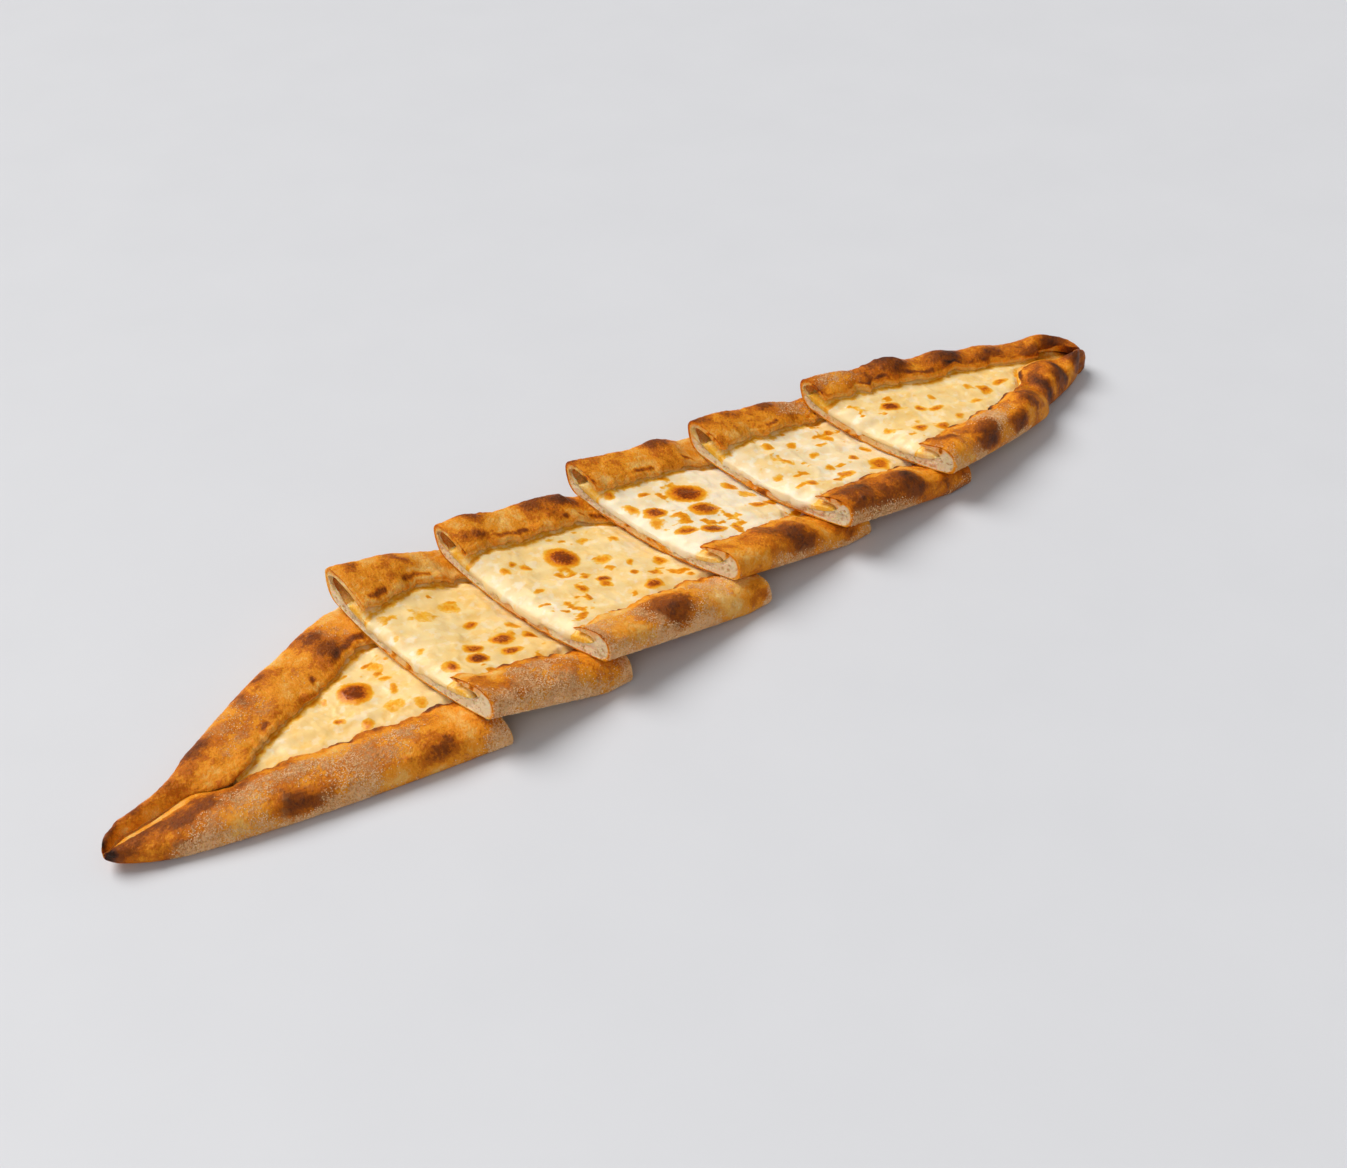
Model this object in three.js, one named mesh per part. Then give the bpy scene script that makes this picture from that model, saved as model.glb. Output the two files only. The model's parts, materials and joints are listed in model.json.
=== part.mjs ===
// A cheese pide: a long boat of flatbread whose two sides are folded in over melted cheese, baked,
// cut across by a knife and laid out like roof tiles, each slice with its left end on the one before.
// Millimetres, +Z up, X along the row from the pinched tip to the round tip, Y to the far side.
// The origin is the middle of the row's bounding box, on the surface that the slices lie on.

import * as THREE from 'three';

// The uncut boat: its length, its knife cuts measured from the pinched tip, and its half widths.
const BOAT_LENGTH = 614;
const KNIFE_CUTS = [149, 217, 307, 389, 471];
const PINCHED_TIP = { near: [148, 0.68], far: [100, 0.65], neck: 10.5, to: 38, soft: 7, nose: 13 };
const TIP_CURL = { rise: 5, reach: 30 };
const WIDEST = { at: 200, half: 54 };
const ROUND_END = { from: 471, half: 45, power: 0.45, notch: [556, 568], step: 5, nose: 5 };
const NARROWEST = 1.4;

// Both tips are rounded off: over what length, their size at the very end, and the height that they close
// on as a share of the rim's.
const TIP = { reach: 5, share: 0.5, height: 0.5 };

// Waves of the dough's and the cheese's unevenness: length over a full turn, and share of the phase.
const WAVES = [[7.3, 1], [4.1, 2.3], [17, 4.1]];

// The dough: thickness of the base, and the folded rims on each side. A rim has its height, the depth of
// solid crumb in its fold, the width of its fold at the pinched end, the waist, the round end and its tip,
// and how far it sinks towards the seam of the pinched tip.
const BASE = 4;
const RIM = {
  near: { side: -1, height: 12.6, crumb: 9.5, folds: [27, 22.5, 20.5, 24], sinks: 0.08 },
  far: { side: 1, height: 14, crumb: 2, folds: [28, 19.5, 15, 15.5], sinks: 0.3 },
};
const FOLD_STEPS = [[140, 185], [390, 500], [558, 578]];
const LIP_WAVE = 1.2;
const SKIN_WAVE = 0.5;
const THINNEST_FOLD = { share: 0.55, most: 2 };

// How the rims run down to the tips, and where their folds close into solid dough there: ranges along
// the boat from the pinched tip, and from the round tip.
const TAPER = { pinched: [-6, 48], round: [-60, 20], height: 0.42 };
const CLOSED = { pinched: [34, 62], round: [6, 25], roundShare: 0.75, deep: 0.82, floor: 0.42 };

// The seam where the two lips meet at the tips: how far to the far side it lies and where that changes,
// the width of its halves, and its two open places.
const SEAM = { half: 0.7, starts: [0, 12], swings: [36, 54], crosses: [100, 560], ends: [2, 22] };
const SEAM_AT = { tip: 4.5, pinched: -4, round: 4.5 };
const GROOVE = { half: 0.6, ends: [24, 44] };
const POCKET = { half: 4.5, starts: [588, 594], ends: [602, 609], floor: 2.5 };

// Section of a folded rim. The skin runs from the base's underside round to the lip: distance in from
// the outer edge as a share of the fold and in mm, height as a share of the rim's, share of a blister's
// rise. The inside runs from the lip back to the base's top: distance in as a share of the room from
// the crumb to the lip, height in an open fold and in a closed one; its last two points ease on to the floor.
const SKIN = {
  near: [
    [0.36, 4, 0, 0],
    [0, 3.2, 0, 0],
    [0, 1, 0.1, 0],
    [0, 0.1, 0.32, 0],
    [0, 0.9, 0.56, 0.2],
    [0.12, 0, 0.78, 0.6],
    [0.27, 0, 0.93, 0.95],
    [0.47, 0, 1, 1],
    [0.74, 0, 0.97, 0.7],
    [0.94, 0, 0.88, 0.25],
    [1, 0, 0.81, 0],
  ],
  far: [
    [0.36, 4, 0, 0],
    [0, 7, 0, 0],
    [0, 3.4, 0.12, 0],
    [0, 1, 0.38, 0],
    [0, 0, 0.7, 0.3],
    [0.1, 0, 0.92, 0.9],
    [0.32, 0, 1, 1],
    [0.62, 0, 0.99, 0.9],
    [0.86, 0, 0.93, 0.5],
    [0.97, 0, 0.87, 0.2],
    [1, 0, 0.8, 0],
  ],
};
const INSIDE = {
  near: [
    [0.9, 0.78, 0.71],
    [0.45, 0.78, 0.7],
    [0.14, 0.73, 0.7],
    [0, 0.6, 0.66],
    [0.14, 0.5, 0.62],
  ],
  far: [
    [0.92, 0.76, 0.71],
    [0.6, 0.84, 0.7],
    [0.18, 0.83, 0.7],
    [0, 0.62, 0.66],
    [0.12, 0.44, 0.62],
  ],
};
const INSIDE_DEEPEST = 3;
const FLOOR_EASE = { room: 0.5, rise: 0.8, closed: 0.6 };

// The cheese: its depth over the base, how uneven it is, its clearance to the dough, and how round its edge
// is at a cut. Under each fold: how far it runs in and how high it stands. At that edge: how far in it goes
// at most, its thinnest, how it rises out from under a lip, and how far the lips stand apart where it starts.
const CHEESE = { depth: 5.2, ripple: 0.5, gap: 0.45, round: 3, slump: 0.18 };
const CHEESE_UNDER = { near: { reach: 9, level: 8.7 }, far: { reach: 7, level: 7.6 } };
const CHEESE_EDGE = { deepest: 0.25, thinnest: 0.3, rises: [0, 5], parted: 0.9 };
const CHEESE_WAVE = { along: 5.3, across: 9, second: 6.1, drift: 21, lean: 3, phase: 1.7 };

// How a slice lies: the hull-shaped sag of its lifted end, the length of the heel that lies flat, the
// clearance to the slice on top of it, how softly that slice's edge presses in, and where the height
// that is pressed changes from the cheese's to the rim's.
const SAG = 0.00275;
const HEEL = 4;
const TOUCH = 0.6;
const PRESS_EASE = 0.03;
const PRESS_STEP = [-6, -1];

// Where each slice lies: X and Y of its left end's middle, that end's height, its turn in the row and
// the slant of its knife cuts, in degrees.
const LAID = [
  { x: -268, y: 3, lift: 0, turn: 4.5, cut: 1 },
  { x: -127.5, y: 17.4, lift: 10.5, turn: -3, cut: 8.2 },
  { x: -73, y: 14.5, lift: 10.5, turn: -1.5, cut: 8.6 },
  { x: 1, y: 19, lift: 10.5, turn: -1, cut: 10.8 },
  { x: 64.9, y: 12.8, lift: 10.5, turn: 0, cut: 9.7 },
  { x: 130.7, y: 9.5, lift: 10.5, turn: -1.6, cut: 10.9 },
];

// Puffed blisters on the rims, and creases as negative ones: place along the boat, rise, half length.
const BLISTERS = {
  near: [
    [62, 0.8, 12], [118, 1.2, 14], [190, 1.2, 12], [263, 2.4, 13], [332, 1.8, 7], [350, 1.8, 8],
    [400, 1.4, 7], [430, 2.2, 10], [482, 1.5, 8], [508, 3, 11], [543, 3.8, 9], [561, -2.2, 5],
    [577, 3.4, 8], [590, -1.2, 4], [602, 3, 7],
  ],
  far: [
    [93, 1, 12], [120, 1.6, 12], [171, 1.6, 12], [227, 1.2, 9], [268, 1.6, 14], [353, 2.6, 9],
    [400, 1.2, 9], [430, 1.6, 12], [483, 1, 8], [514, 3.2, 10], [541, 2.6, 9], [566, 1.4, 8], [598, 2.8, 9],
  ],
};

// How finely the solids are divided.
const STATIONS = { pinched: 7, opening: 10, middle: 13, closing: 15, round: 7, crowding: 1.4 };
const BASE_STEPS = 5;
const TOP_STEPS = 13;

const { lerp, clamp, smoothstep, degToRad } = THREE.MathUtils;

const crustMaterial = new THREE.MeshStandardMaterial({ color: 0xc98b45, roughness: 0.8, metalness: 0 });
const cheeseMaterial = new THREE.MeshStandardMaterial({ color: 0xf3dfa6, roughness: 0.4, metalness: 0 });

// Half width of the uncut boat on one side. The near side leaves the pinched tip almost straight and
// the far side swells from a narrow neck; both follow a long waist to a rounded end.
function halfWidth(s, name) {
  const { near, far, neck, to, soft, nose } = PINCHED_TIP;
  const straight = WIDEST.half * (Math.max(s, 0) / near[0]) ** near[1];
  const swollen = (s - to + Math.hypot(s - to, soft)) / 2 / far[0];
  const swell = lerp(neck, WIDEST.half, swollen ** far[1]) * Math.sqrt(clamp(s / nose, 0, 1));
  const along = clamp((s - WIDEST.at) / (ROUND_END.from - WIDEST.at), 0, 1);
  const waist = lerp(WIDEST.half, ROUND_END.half, along);
  const left = clamp((BOAT_LENGTH - s) / (BOAT_LENGTH - ROUND_END.from), 0, 1);
  const rounded = waist - ROUND_END.half * (1 - left ** ROUND_END.power);
  const notched = rounded - ROUND_END.step * smoothstep(s, ...ROUND_END.notch);
  const [pinched, blunt] = name === 'far' ? [swell, rounded] : [straight, notched];
  return Math.max(NARROWEST, Math.min(pinched, waist, Math.max(ROUND_END.nose, blunt)));
}

// A gentle unevenness between -1 and 1, from three waves that never line up.
function uneven(s, phase) {
  return WAVES.reduce((sum, [length, share]) => sum + Math.sin(s / length + share * phase), 0) / WAVES.length;
}

// Height of a rim without its blisters: low at both tips.
function rimHeight(s, name) {
  const taper = smoothstep(s, ...TAPER.pinched) * smoothstep(BOAT_LENGTH - s, ...TAPER.round);
  return RIM[name].height * lerp(TAPER.height, 1, taper);
}

// How far the blisters of a rim raise its top.
function rimPuff(s, name) {
  const puffs = BLISTERS[name].map(([at, rise, spread]) => rise * Math.exp(-(((s - at) / spread) ** 2)));
  return puffs.reduce((sum, rise) => sum + rise, SKIN_WAVE * uneven(s, RIM[name].side));
}

// How far a fold is closed into solid dough: fully at the pinched tip, largely at the round tip.
function closedFold(s) {
  const round = CLOSED.roundShare * (1 - smoothstep(BOAT_LENGTH - s, ...CLOSED.round));
  return Math.max(1 - smoothstep(s, ...CLOSED.pinched), round);
}

// Width of the fold on one side, stopped at the seam where it would reach the other lip, and how far
// it stays off the seam.
function foldWidth(s, name) {
  const { side, folds } = RIM[name];
  const wider = (width, step, i) => lerp(width, folds[i + 1], smoothstep(s, ...step));
  const stepped = FOLD_STEPS.reduce(wider, folds[0]);
  const free = stepped + LIP_WAVE * uneven(s, 5 * side);
  const started = smoothstep(s, ...SEAM.starts);
  const pinched = lerp(SEAM_AT.tip * started, SEAM_AT.pinched, smoothstep(s, ...SEAM.swings));
  const round = SEAM_AT.round * smoothstep(BOAT_LENGTH - s, ...SEAM.ends);
  const middle = lerp(pinched, round, smoothstep(s, ...SEAM.crosses));
  const groove = GROOVE.half * (1 - smoothstep(s, ...GROOVE.ends)) * started;
  const pocket = POCKET.half * smoothstep(s, ...POCKET.starts) * (1 - smoothstep(s, ...POCKET.ends));
  const half = halfWidth(s, name);
  const met = half - side * middle - SEAM.half - groove - pocket;
  const thinnest = Math.min(THINNEST_FOLD.share * half, THINNEST_FOLD.most);
  return { half, fold: Math.max(thinnest, Math.min(free, met)), parted: met - free };
}

// The rim's section, as distance in from the outer edge and height: the skin from the base's
// underside round to the lip, then the inside of the fold from the lip back to the base's top.
function rimSection(s, name) {
  const { half, fold } = foldWidth(s, name);
  const high = rimHeight(s, name);
  const puff = rimPuff(s, name);
  const closed = closedFold(s);
  const share = Math.min(1, fold / RIM[name].folds[2]);
  const deep = lerp(RIM[name].crumb * share, CLOSED.deep * fold, closed);
  const room = fold - deep;
  const sunk = 1 - RIM[name].sinks * (1 - smoothstep(s, ...CLOSED.pinched));
  const filled = POCKET.floor * smoothstep(s, ...POCKET.starts);
  const floor = lerp(BASE, CLOSED.floor * high * sunk, closed) + filled;
  const eased = lerp(floor + FLOOR_EASE.rise, FLOOR_EASE.closed * high * sunk, closed);
  const skin = SKIN[name].map(([part, inset, tall, puffed]) => {
    const top = tall * high * lerp(1, sunk, clamp(2 * part - 1, 0, 1));
    return [part * fold + inset * share, top + puffed * puff];
  });
  const inside = INSIDE[name].map(([part, open, shut]) => {
    return [deep + part * room, lerp(open, shut * sunk, closed) * high];
  });
  inside.push([deep + FLOOR_EASE.room * room, eased], [fold, floor]);
  return { half, fold, deep, high: high + Math.max(puff, 0), skin, inside };
}

// Height of a line of [inward, height] points at one inward distance.
function heightAt(line, inward) {
  const points = [...line].sort((a, b) => a[0] - b[0]);
  const after = points.findIndex((p) => p[0] >= inward);
  if (after < 0) return points[points.length - 1][1];
  if (after === 0) return points[0][1];
  const [a, b] = [points[after - 1], points[after]];
  return lerp(a[1], b[1], (inward - a[0]) / Math.max(b[0] - a[0], Number.EPSILON));
}

// Points between two others, without the ends.
function between(from, to, steps) {
  return Array.from({ length: steps - 1 }, (_, i) => {
    const t = (i + 1) / steps;
    return [lerp(from[0], to[0], t), lerp(from[1], to[1], t)];
  });
}

// A ring drawn in to a share of its size, towards its middle at a height.
function drawnIn(ring, share, height) {
  const across = ring.map(([y]) => y);
  const middle = (Math.min(...across) + Math.max(...across)) / 2;
  return ring.map(([y, z]) => [lerp(middle, y, share), lerp(height, z, share)]);
}

// Ring of a slice's dough at one station, as [y, z] pairs, from the middle of the underside
// out round the near rim, over the base's top to the far rim, and back underneath.
function doughRing(s) {
  const near = rimSection(s, 'near');
  const far = rimSection(s, 'far');
  const nearSide = [...near.skin, ...near.inside].map(([inward, z]) => [inward - near.half, z]);
  const farSide = [...far.skin, ...far.inside].map(([inward, z]) => [far.half - inward, z]).reverse();
  const top = between(nearSide[nearSide.length - 1], farSide[0], BASE_STEPS);
  const under = between(farSide[farSide.length - 1], nearSide[0], BASE_STEPS + 1);
  const away = clamp(Math.min(s, BOAT_LENGTH - s) / TIP.reach, 0, 1);
  const share = lerp(TIP.share, 1, Math.sqrt(1 - (1 - away) ** 2));
  return drawnIn([...nearSide, ...top, ...farSide, ...under], share, TIP.height * rimHeight(s, 'near'));
}

// Height of the cheese's open surface over the base's underside.
function cheeseTop(s, y) {
  const { along, across, second, drift, lean, phase } = CHEESE_WAVE;
  const crossed = Math.sin(s / along + y / across) * Math.cos(y / second - s / drift);
  return BASE + CHEESE.depth + CHEESE.ripple * (crossed + uneven(s + lean * y, phase));
}

// One edge of the cheese, where it runs in under a fold: points from its underside to its top.
function cheeseEdge(section, { reach, level }) {
  const { fold, deep, inside } = section;
  const start = Math.max(lerp(deep, fold, CHEESE_EDGE.deepest), fold - reach);
  const roof = inside.slice(0, INSIDE_DEEPEST + 1);
  const floor = inside.slice(INSIDE_DEEPEST);
  const steps = [start, (start + fold) / 2, fold];
  const lower = steps.map((u) => [u, heightAt(floor, u) + CHEESE.gap]);
  const upper = steps.map((u, i) => {
    const under = Math.min(level, heightAt(roof, Math.min(u, roof[0][0])) - CHEESE.gap);
    return [u, Math.max(under, lower[i][1] + CHEESE_EDGE.thinnest)];
  });
  return [...lower.reverse(), ...upper];
}

// Ring of a slice's cheese at one station, in the same order as the dough's ring. A cut edge is
// rounded: the share of the cheese's full depth falls towards it.
function cheeseRing(s, share) {
  const near = rimSection(s, 'near');
  const far = rimSection(s, 'far');
  const nearEdge = cheeseEdge(near, CHEESE_UNDER.near).map(([u, z]) => [u - near.half, z]);
  const farEdge = cheeseEdge(far, CHEESE_UNDER.far).map(([u, z]) => [far.half - u, z]).reverse();
  const [nearLip, farLip] = [nearEdge[nearEdge.length - 1], farEdge[0]];
  const top = between(nearLip, farLip, TOP_STEPS).map(([y, z]) => {
    const rise = smoothstep(Math.min(y - nearLip[0], farLip[0] - y), ...CHEESE_EDGE.rises);
    return [y, lerp(z, lerp(BASE, cheeseTop(s, y), share), rise)];
  });
  const under = between(farEdge[farEdge.length - 1], nearEdge[0], BASE_STEPS);
  return [...nearEdge, ...top, ...farEdge, ...under];
}

// Height of the food at a place across a station: the cheese in the middle, the rims at the sides.
function stackHeight(s) {
  const near = rimSection(s, 'near');
  const far = rimSection(s, 'far');
  return (y) => {
    const rim = y < 0 ? near : far;
    const past = Math.abs(y) - (rim.half - rim.fold);
    return lerp(BASE + CHEESE.depth + 2 * CHEESE.ripple, rim.high, smoothstep(past, ...PRESS_STEP));
  };
}

// First place from one along the boat towards another where the lips stand apart.
function partingPlace(from, to) {
  const step = Math.sign(to - from) / 2;
  let s = from;
  while (Math.max(foldWidth(s, 'near').parted, foldWidth(s, 'far').parted) < CHEESE_EDGE.parted) s += step;
  return s;
}

// Evenly spaced numbers from one to another, with both ends.
function spread(from, to, steps) {
  return Array.from({ length: steps + 1 }, (_, i) => lerp(from, to, i / steps));
}

// A slice of the boat between two places along it, and how it lies in the row.
class Slice {
  constructor(laid, index) {
    this.name = `slice_${index + 1}`;
    this.first = index === 0;
    this.last = index === KNIFE_CUTS.length;
    this.from = this.first ? 0 : KNIFE_CUTS[index - 1];
    this.to = this.last ? BOAT_LENGTH : KNIFE_CUTS[index];
    this.length = this.to - this.from;
    this.laid = laid;
    this.pitch = Math.asin(laid.lift / (this.length - HEEL));
    this.turn = degToRad(laid.turn);
    this.opens = this.first ? partingPlace(CLOSED.pinched[0], this.to) : this.from;
    this.closes = this.last ? partingPlace(this.to - CLOSED.round[1], this.from) : this.to;
  }

  // Sideways slant of the section at a distance along the slice: full at a cut, none at a tip.
  slant(x) {
    const share = this.first ? x / this.length : this.last ? 1 - x / this.length : 1;
    return Math.tan(degToRad(this.laid.cut)) * clamp(share, 0, 1);
  }

  // How far the slice is bent up at a place: its hull-shaped sag, its flattened heel and its curled tip.
  bend(x, y) {
    const flat = this.length - HEEL;
    const sag = this.first ? 0 : SAG * clamp(1 - x / flat, 0, 1);
    const curl = this.first ? TIP_CURL.rise * clamp(1 - x / TIP_CURL.reach, 0, 1) ** 2 : 0;
    return sag * y * y + Math.tan(this.pitch) * Math.max(0, x - flat) + curl;
  }

  // Height of the slice's underside over the surface, at a place in the row.
  underside(rowX, rowY) {
    const [dx, dy] = [rowX - this.laid.x, rowY - this.laid.y];
    const x = (dx * Math.cos(this.turn) + dy * Math.sin(this.turn)) / Math.cos(this.pitch);
    const y = dy * Math.cos(this.turn) - dx * Math.sin(this.turn);
    const ahead = Math.max(0, -(x + y * this.slant(0)));
    return this.laid.lift - x * Math.sin(this.pitch) + this.bend(Math.max(x, 0), y) + PRESS_EASE * ahead ** 2;
  }

  // The group that carries the slice's meshes to their place in the row.
  place() {
    const group = new THREE.Group();
    group.rotation.order = 'ZYX';
    group.rotation.set(0, this.pitch, this.turn);
    group.position.set(this.laid.x, this.laid.y, this.laid.lift);
    return group;
  }

  // Places along the boat where the slice has a section, from its left end to its right end.
  stations() {
    const crowded = (steps) => spread(0, 1, steps).map((t) => t ** STATIONS.crowding);
    const tip = crowded(STATIONS.pinched).map((t) => lerp(this.from, this.opens, t));
    const nose = crowded(STATIONS.round).map((t) => lerp(this.to, this.closes, t)).reverse();
    const steps = this.first ? STATIONS.opening : this.last ? STATIONS.closing : STATIONS.middle;
    const body = spread(this.opens, this.closes, steps);
    return [...(this.first ? tip.slice(0, -1) : []), ...body, ...(this.last ? nose.slice(1) : [])];
  }

  // A ring of a section set in the slice's own frame, pressed down where the next slice lies on it.
  setRing(s, ring, above) {
    const x = s - this.from;
    const heightOf = stackHeight(s);
    const group = this.place();
    group.updateMatrix();
    return ring.map(([y, z]) => {
      const point = new THREE.Vector3(x - y * this.slant(x), y, 0);
      const bend = this.bend(point.x, y);
      point.z = bend;
      const foot = point.clone().applyMatrix4(group.matrix);
      const room = above ? above.underside(foot.x, foot.y) - TOUCH - foot.z : Infinity;
      point.z = bend + z * Math.min(1, room / heightOf(y));
      return point;
    });
  }

  // Rings of the dough along the whole slice.
  doughRings(above) {
    return this.stations().map((s) => this.setRing(s, doughRing(s), above));
  }

  // Rings of the cheese where the lips stand apart, rounded off at the cuts.
  cheeseRings(above) {
    const open = this.stations().filter((s) => s >= this.opens && s <= this.closes);
    const left = this.first ? [] : [this.from + CHEESE.round / 2];
    const right = this.last ? [] : [this.to - CHEESE.round / 2];
    const places = [...open, ...left, ...right].sort((a, b) => a - b);
    return places.map((s) => {
      const inFrom = this.first ? Infinity : s - this.from;
      const inTo = this.last ? Infinity : this.to - s;
      const share = 1 - CHEESE.slump * (1 - clamp(Math.min(inFrom, inTo) / CHEESE.round, 0, 1)) ** 2;
      return this.setRing(s, cheeseRing(s, share), above);
    });
  }

  // The slice's two solids in their place in the row.
  build(above) {
    const group = this.place();
    const crust = new THREE.Mesh(loft(this.doughRings(above)), crustMaterial);
    crust.name = `${this.name}_crust`;
    const cheese = new THREE.Mesh(loft(this.cheeseRings(above)), cheeseMaterial);
    cheese.name = `${this.name}_cheese`;
    group.add(crust, cheese);
    return group;
  }
}

// A closed solid through rings of equal length, capped at both ends.
function loft(rings) {
  const count = rings[0].length;
  const positions = rings.flat().flatMap((p) => [p.x, p.y, p.z]);
  const triangles = [];
  for (let r = 0; r + 1 < rings.length; r += 1) {
    for (let i = 0; i < count; i += 1) {
      const [a, b] = [r * count + i, r * count + ((i + 1) % count)];
      triangles.push(a, b, b + count, a, b + count, a + count);
    }
  }
  [0, rings.length - 1].forEach((r, end) => {
    const outline = rings[r].map((p) => new THREE.Vector2(p.y, p.z));
    THREE.ShapeUtils.triangulateShape(outline, []).forEach(([a, b, c]) => {
      const face = end === 0 ? [a, b, c] : [a, c, b];
      triangles.push(...face.map((i) => r * count + i));
    });
  });
  return facingOut(positions, triangles);
}

// A geometry from positions and triangles, turned round if its faces point in.
function facingOut(positions, triangles) {
  const corner = (i) => new THREE.Vector3().fromArray(positions, 3 * i);
  let volume = 0;
  for (let i = 0; i < triangles.length; i += 3) {
    const [a, b, c] = triangles.slice(i, i + 3).map(corner);
    volume += a.dot(b.cross(c));
  }
  if (volume < 0) triangles.reverse();
  const geometry = new THREE.BufferGeometry();
  geometry.setAttribute('position', new THREE.Float32BufferAttribute(positions, 3));
  geometry.setIndex(triangles);
  geometry.computeVertexNormals();
  return geometry;
}

const slices = LAID.map((laid, index) => new Slice(laid, index));
const row = new THREE.Group();
slices.forEach((slice, index) => row.add(slice.build(slices[index + 1])));

const box = new THREE.Box3().setFromObject(row, true);
const middle = box.getCenter(new THREE.Vector3());
row.position.set(-middle.x, -middle.y, -box.min.z);

const pide = new THREE.Group();
pide.add(row);

export default pide;
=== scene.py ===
"""A sliced cheese pide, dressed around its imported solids.

The bread is one long boat of dough whose sides fold in over melted cheese. It is cut across and laid out in
a row, each slice with its left end on the slice before. The shapes repeat the solids' own section functions,
far more finely, and add what a bake adds: blisters, ragged lips, an open crumb, toasted spots and flour.
Sizes are millimetres until a mesh is made. X runs along the row, Y to the far side, Z up.
"""

import json
import logging
import math
from dataclasses import asdict, dataclass, field
from enum import Enum
from itertools import product
from typing import Any, Optional, Sequence, Union

import bpy
import numpy as np
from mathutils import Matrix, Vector

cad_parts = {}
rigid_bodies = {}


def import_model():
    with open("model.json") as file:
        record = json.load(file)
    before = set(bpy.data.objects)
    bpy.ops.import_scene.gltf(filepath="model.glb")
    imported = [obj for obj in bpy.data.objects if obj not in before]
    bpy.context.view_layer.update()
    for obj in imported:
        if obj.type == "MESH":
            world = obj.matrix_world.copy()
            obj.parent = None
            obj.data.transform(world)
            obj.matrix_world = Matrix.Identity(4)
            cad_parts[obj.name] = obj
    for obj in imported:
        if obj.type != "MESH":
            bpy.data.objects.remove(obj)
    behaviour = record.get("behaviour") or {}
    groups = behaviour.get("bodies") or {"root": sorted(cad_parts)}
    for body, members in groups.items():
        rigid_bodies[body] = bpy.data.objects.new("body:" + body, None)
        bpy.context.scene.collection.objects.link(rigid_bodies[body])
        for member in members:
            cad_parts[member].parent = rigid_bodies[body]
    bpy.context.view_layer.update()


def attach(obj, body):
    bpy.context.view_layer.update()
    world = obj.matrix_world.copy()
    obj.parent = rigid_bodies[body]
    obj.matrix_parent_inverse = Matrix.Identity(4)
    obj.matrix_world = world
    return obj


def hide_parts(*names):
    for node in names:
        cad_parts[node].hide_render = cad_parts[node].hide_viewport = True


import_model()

LOG = logging.getLogger("pide")
MM = 0.001
ROW_SHIFT = (-2.98, -15.88, 0.0)
FLOUR_SEED = 11

Array = np.ndarray
Range = tuple[float, float]
Triple = tuple[float, float, float]
Colour = tuple[float, float, float, float]
Grain = tuple[float, ...]
Stops = tuple[tuple[float, Triple], ...]


class Side(Enum):
    """The two long sides of the boat, by the sign of Y."""

    NEAR = -1
    FAR = 1


class Field(str, Enum):
    """Names of the values that the meshes carry for their finishes."""

    BROWN = "brown"
    FLOUR = "flour"
    CRUMB = "crumb"
    TOAST = "toast"
    PALE = "pale"
    RELIEF = "relief"
    RAISED = "raised"


class Slot(str, Enum):
    """The record's material slots."""

    CRUST = "crust"
    CHEESE = "cheese"


def lerp(a: Any, b: Any, t: Any) -> Any:
    """A value between a and b, at share t."""
    return a + (b - a) * t


def smooth(x: Any, low: Any, high: Any) -> Array:
    """A soft step.

    Args:
        x: The values.
        low: Where the step starts.
        high: Where it ends.

    Returns:
        0 before low, 1 after high, eased between.
    """
    t = np.clip((np.asarray(x, float) - low) / (high - low), 0, 1)
    return t * t * (3 - 2 * t)


def bump_of(distance: Any) -> Array:
    """A round bump of height 1 that fades with the distance in radii."""
    return np.exp(-np.asarray(distance, float) ** 2)


@dataclass(frozen=True)
class Noise:
    """Smooth lattice noise with a fixed seed.

    Attributes:
        seed: Changes the pattern.
        octaves: How many finer layers are added.
        gain: Brings the values up to about -1 to 1.
        axis_factors: Factors of a cell's three numbers in its hash, as the next two are of seed and octave.
        mixing: Shift and factor of each round that mixes the hash. The last round has a shift alone.
    """

    seed: int
    octaves: int = 3
    gain: float = 1.6
    axis_factors: tuple[int, int, int] = (374761393, 668265263, 2147483647)
    seed_factor: int = 974711
    layer_factor: int = 31337
    mixing: tuple[tuple[int, int], ...] = ((13, 1274126177), (16, 2246822519))
    last_shift: int = 15

    def corner(self, cell: Array, step: Sequence[int], layer: int) -> Array:
        """A number from 0 to 1 for a corner of each cell.

        Args:
            cell: Whole cell numbers, one row of three for each point.
            step: Which corner.
            layer: The octave, which has its own pattern.

        Returns:
            One number for each point.
        """
        numbers = (cell + np.array(step)).astype(np.int64).astype(np.uint32)
        start = (self.seed * self.seed_factor + layer * self.layer_factor) % 2**32
        mixed = np.full(numbers.shape[:-1], start, np.uint32)
        for axis, factor in enumerate(self.axis_factors):
            mixed = mixed + numbers[..., axis] * np.uint32(factor)
        for shift, factor in self.mixing:
            mixed = (mixed ^ (mixed >> np.uint32(shift))) * np.uint32(factor)
        return (mixed ^ (mixed >> np.uint32(self.last_shift))).astype(float) / 2.0**32

    def at(self, points: Array, size: float) -> Array:
        """The noise at points.

        Args:
            points: Rows of three coordinates in mm.
            size: Size of the largest lumps in mm.

        Returns:
            Values of about -1 to 1.
        """
        total, weight = np.zeros(points.shape[:-1]), 0.0
        for layer in range(self.octaves):
            p = points / size * 2.0**layer
            cell = np.floor(p)
            t = p - cell
            t = t * t * t * (t * (t * 6 - 15) + 10)
            value = np.zeros(points.shape[:-1])
            for step in product((0, 1), repeat=3):
                near = np.abs(1 - np.array(step) - t)
                value += near[..., 0] * near[..., 1] * near[..., 2] * self.corner(cell, step, layer)
            total += (2 * value - 1) * 0.5**layer
            weight += 0.5**layer
        return total / weight * self.gain

    def along(self, s: Array, size: float) -> Array:
        """The noise along one line, at places s in mm."""
        s = np.asarray(s, float)
        return self.at(np.stack([s, np.zeros_like(s), np.zeros_like(s)], -1), size)


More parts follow.
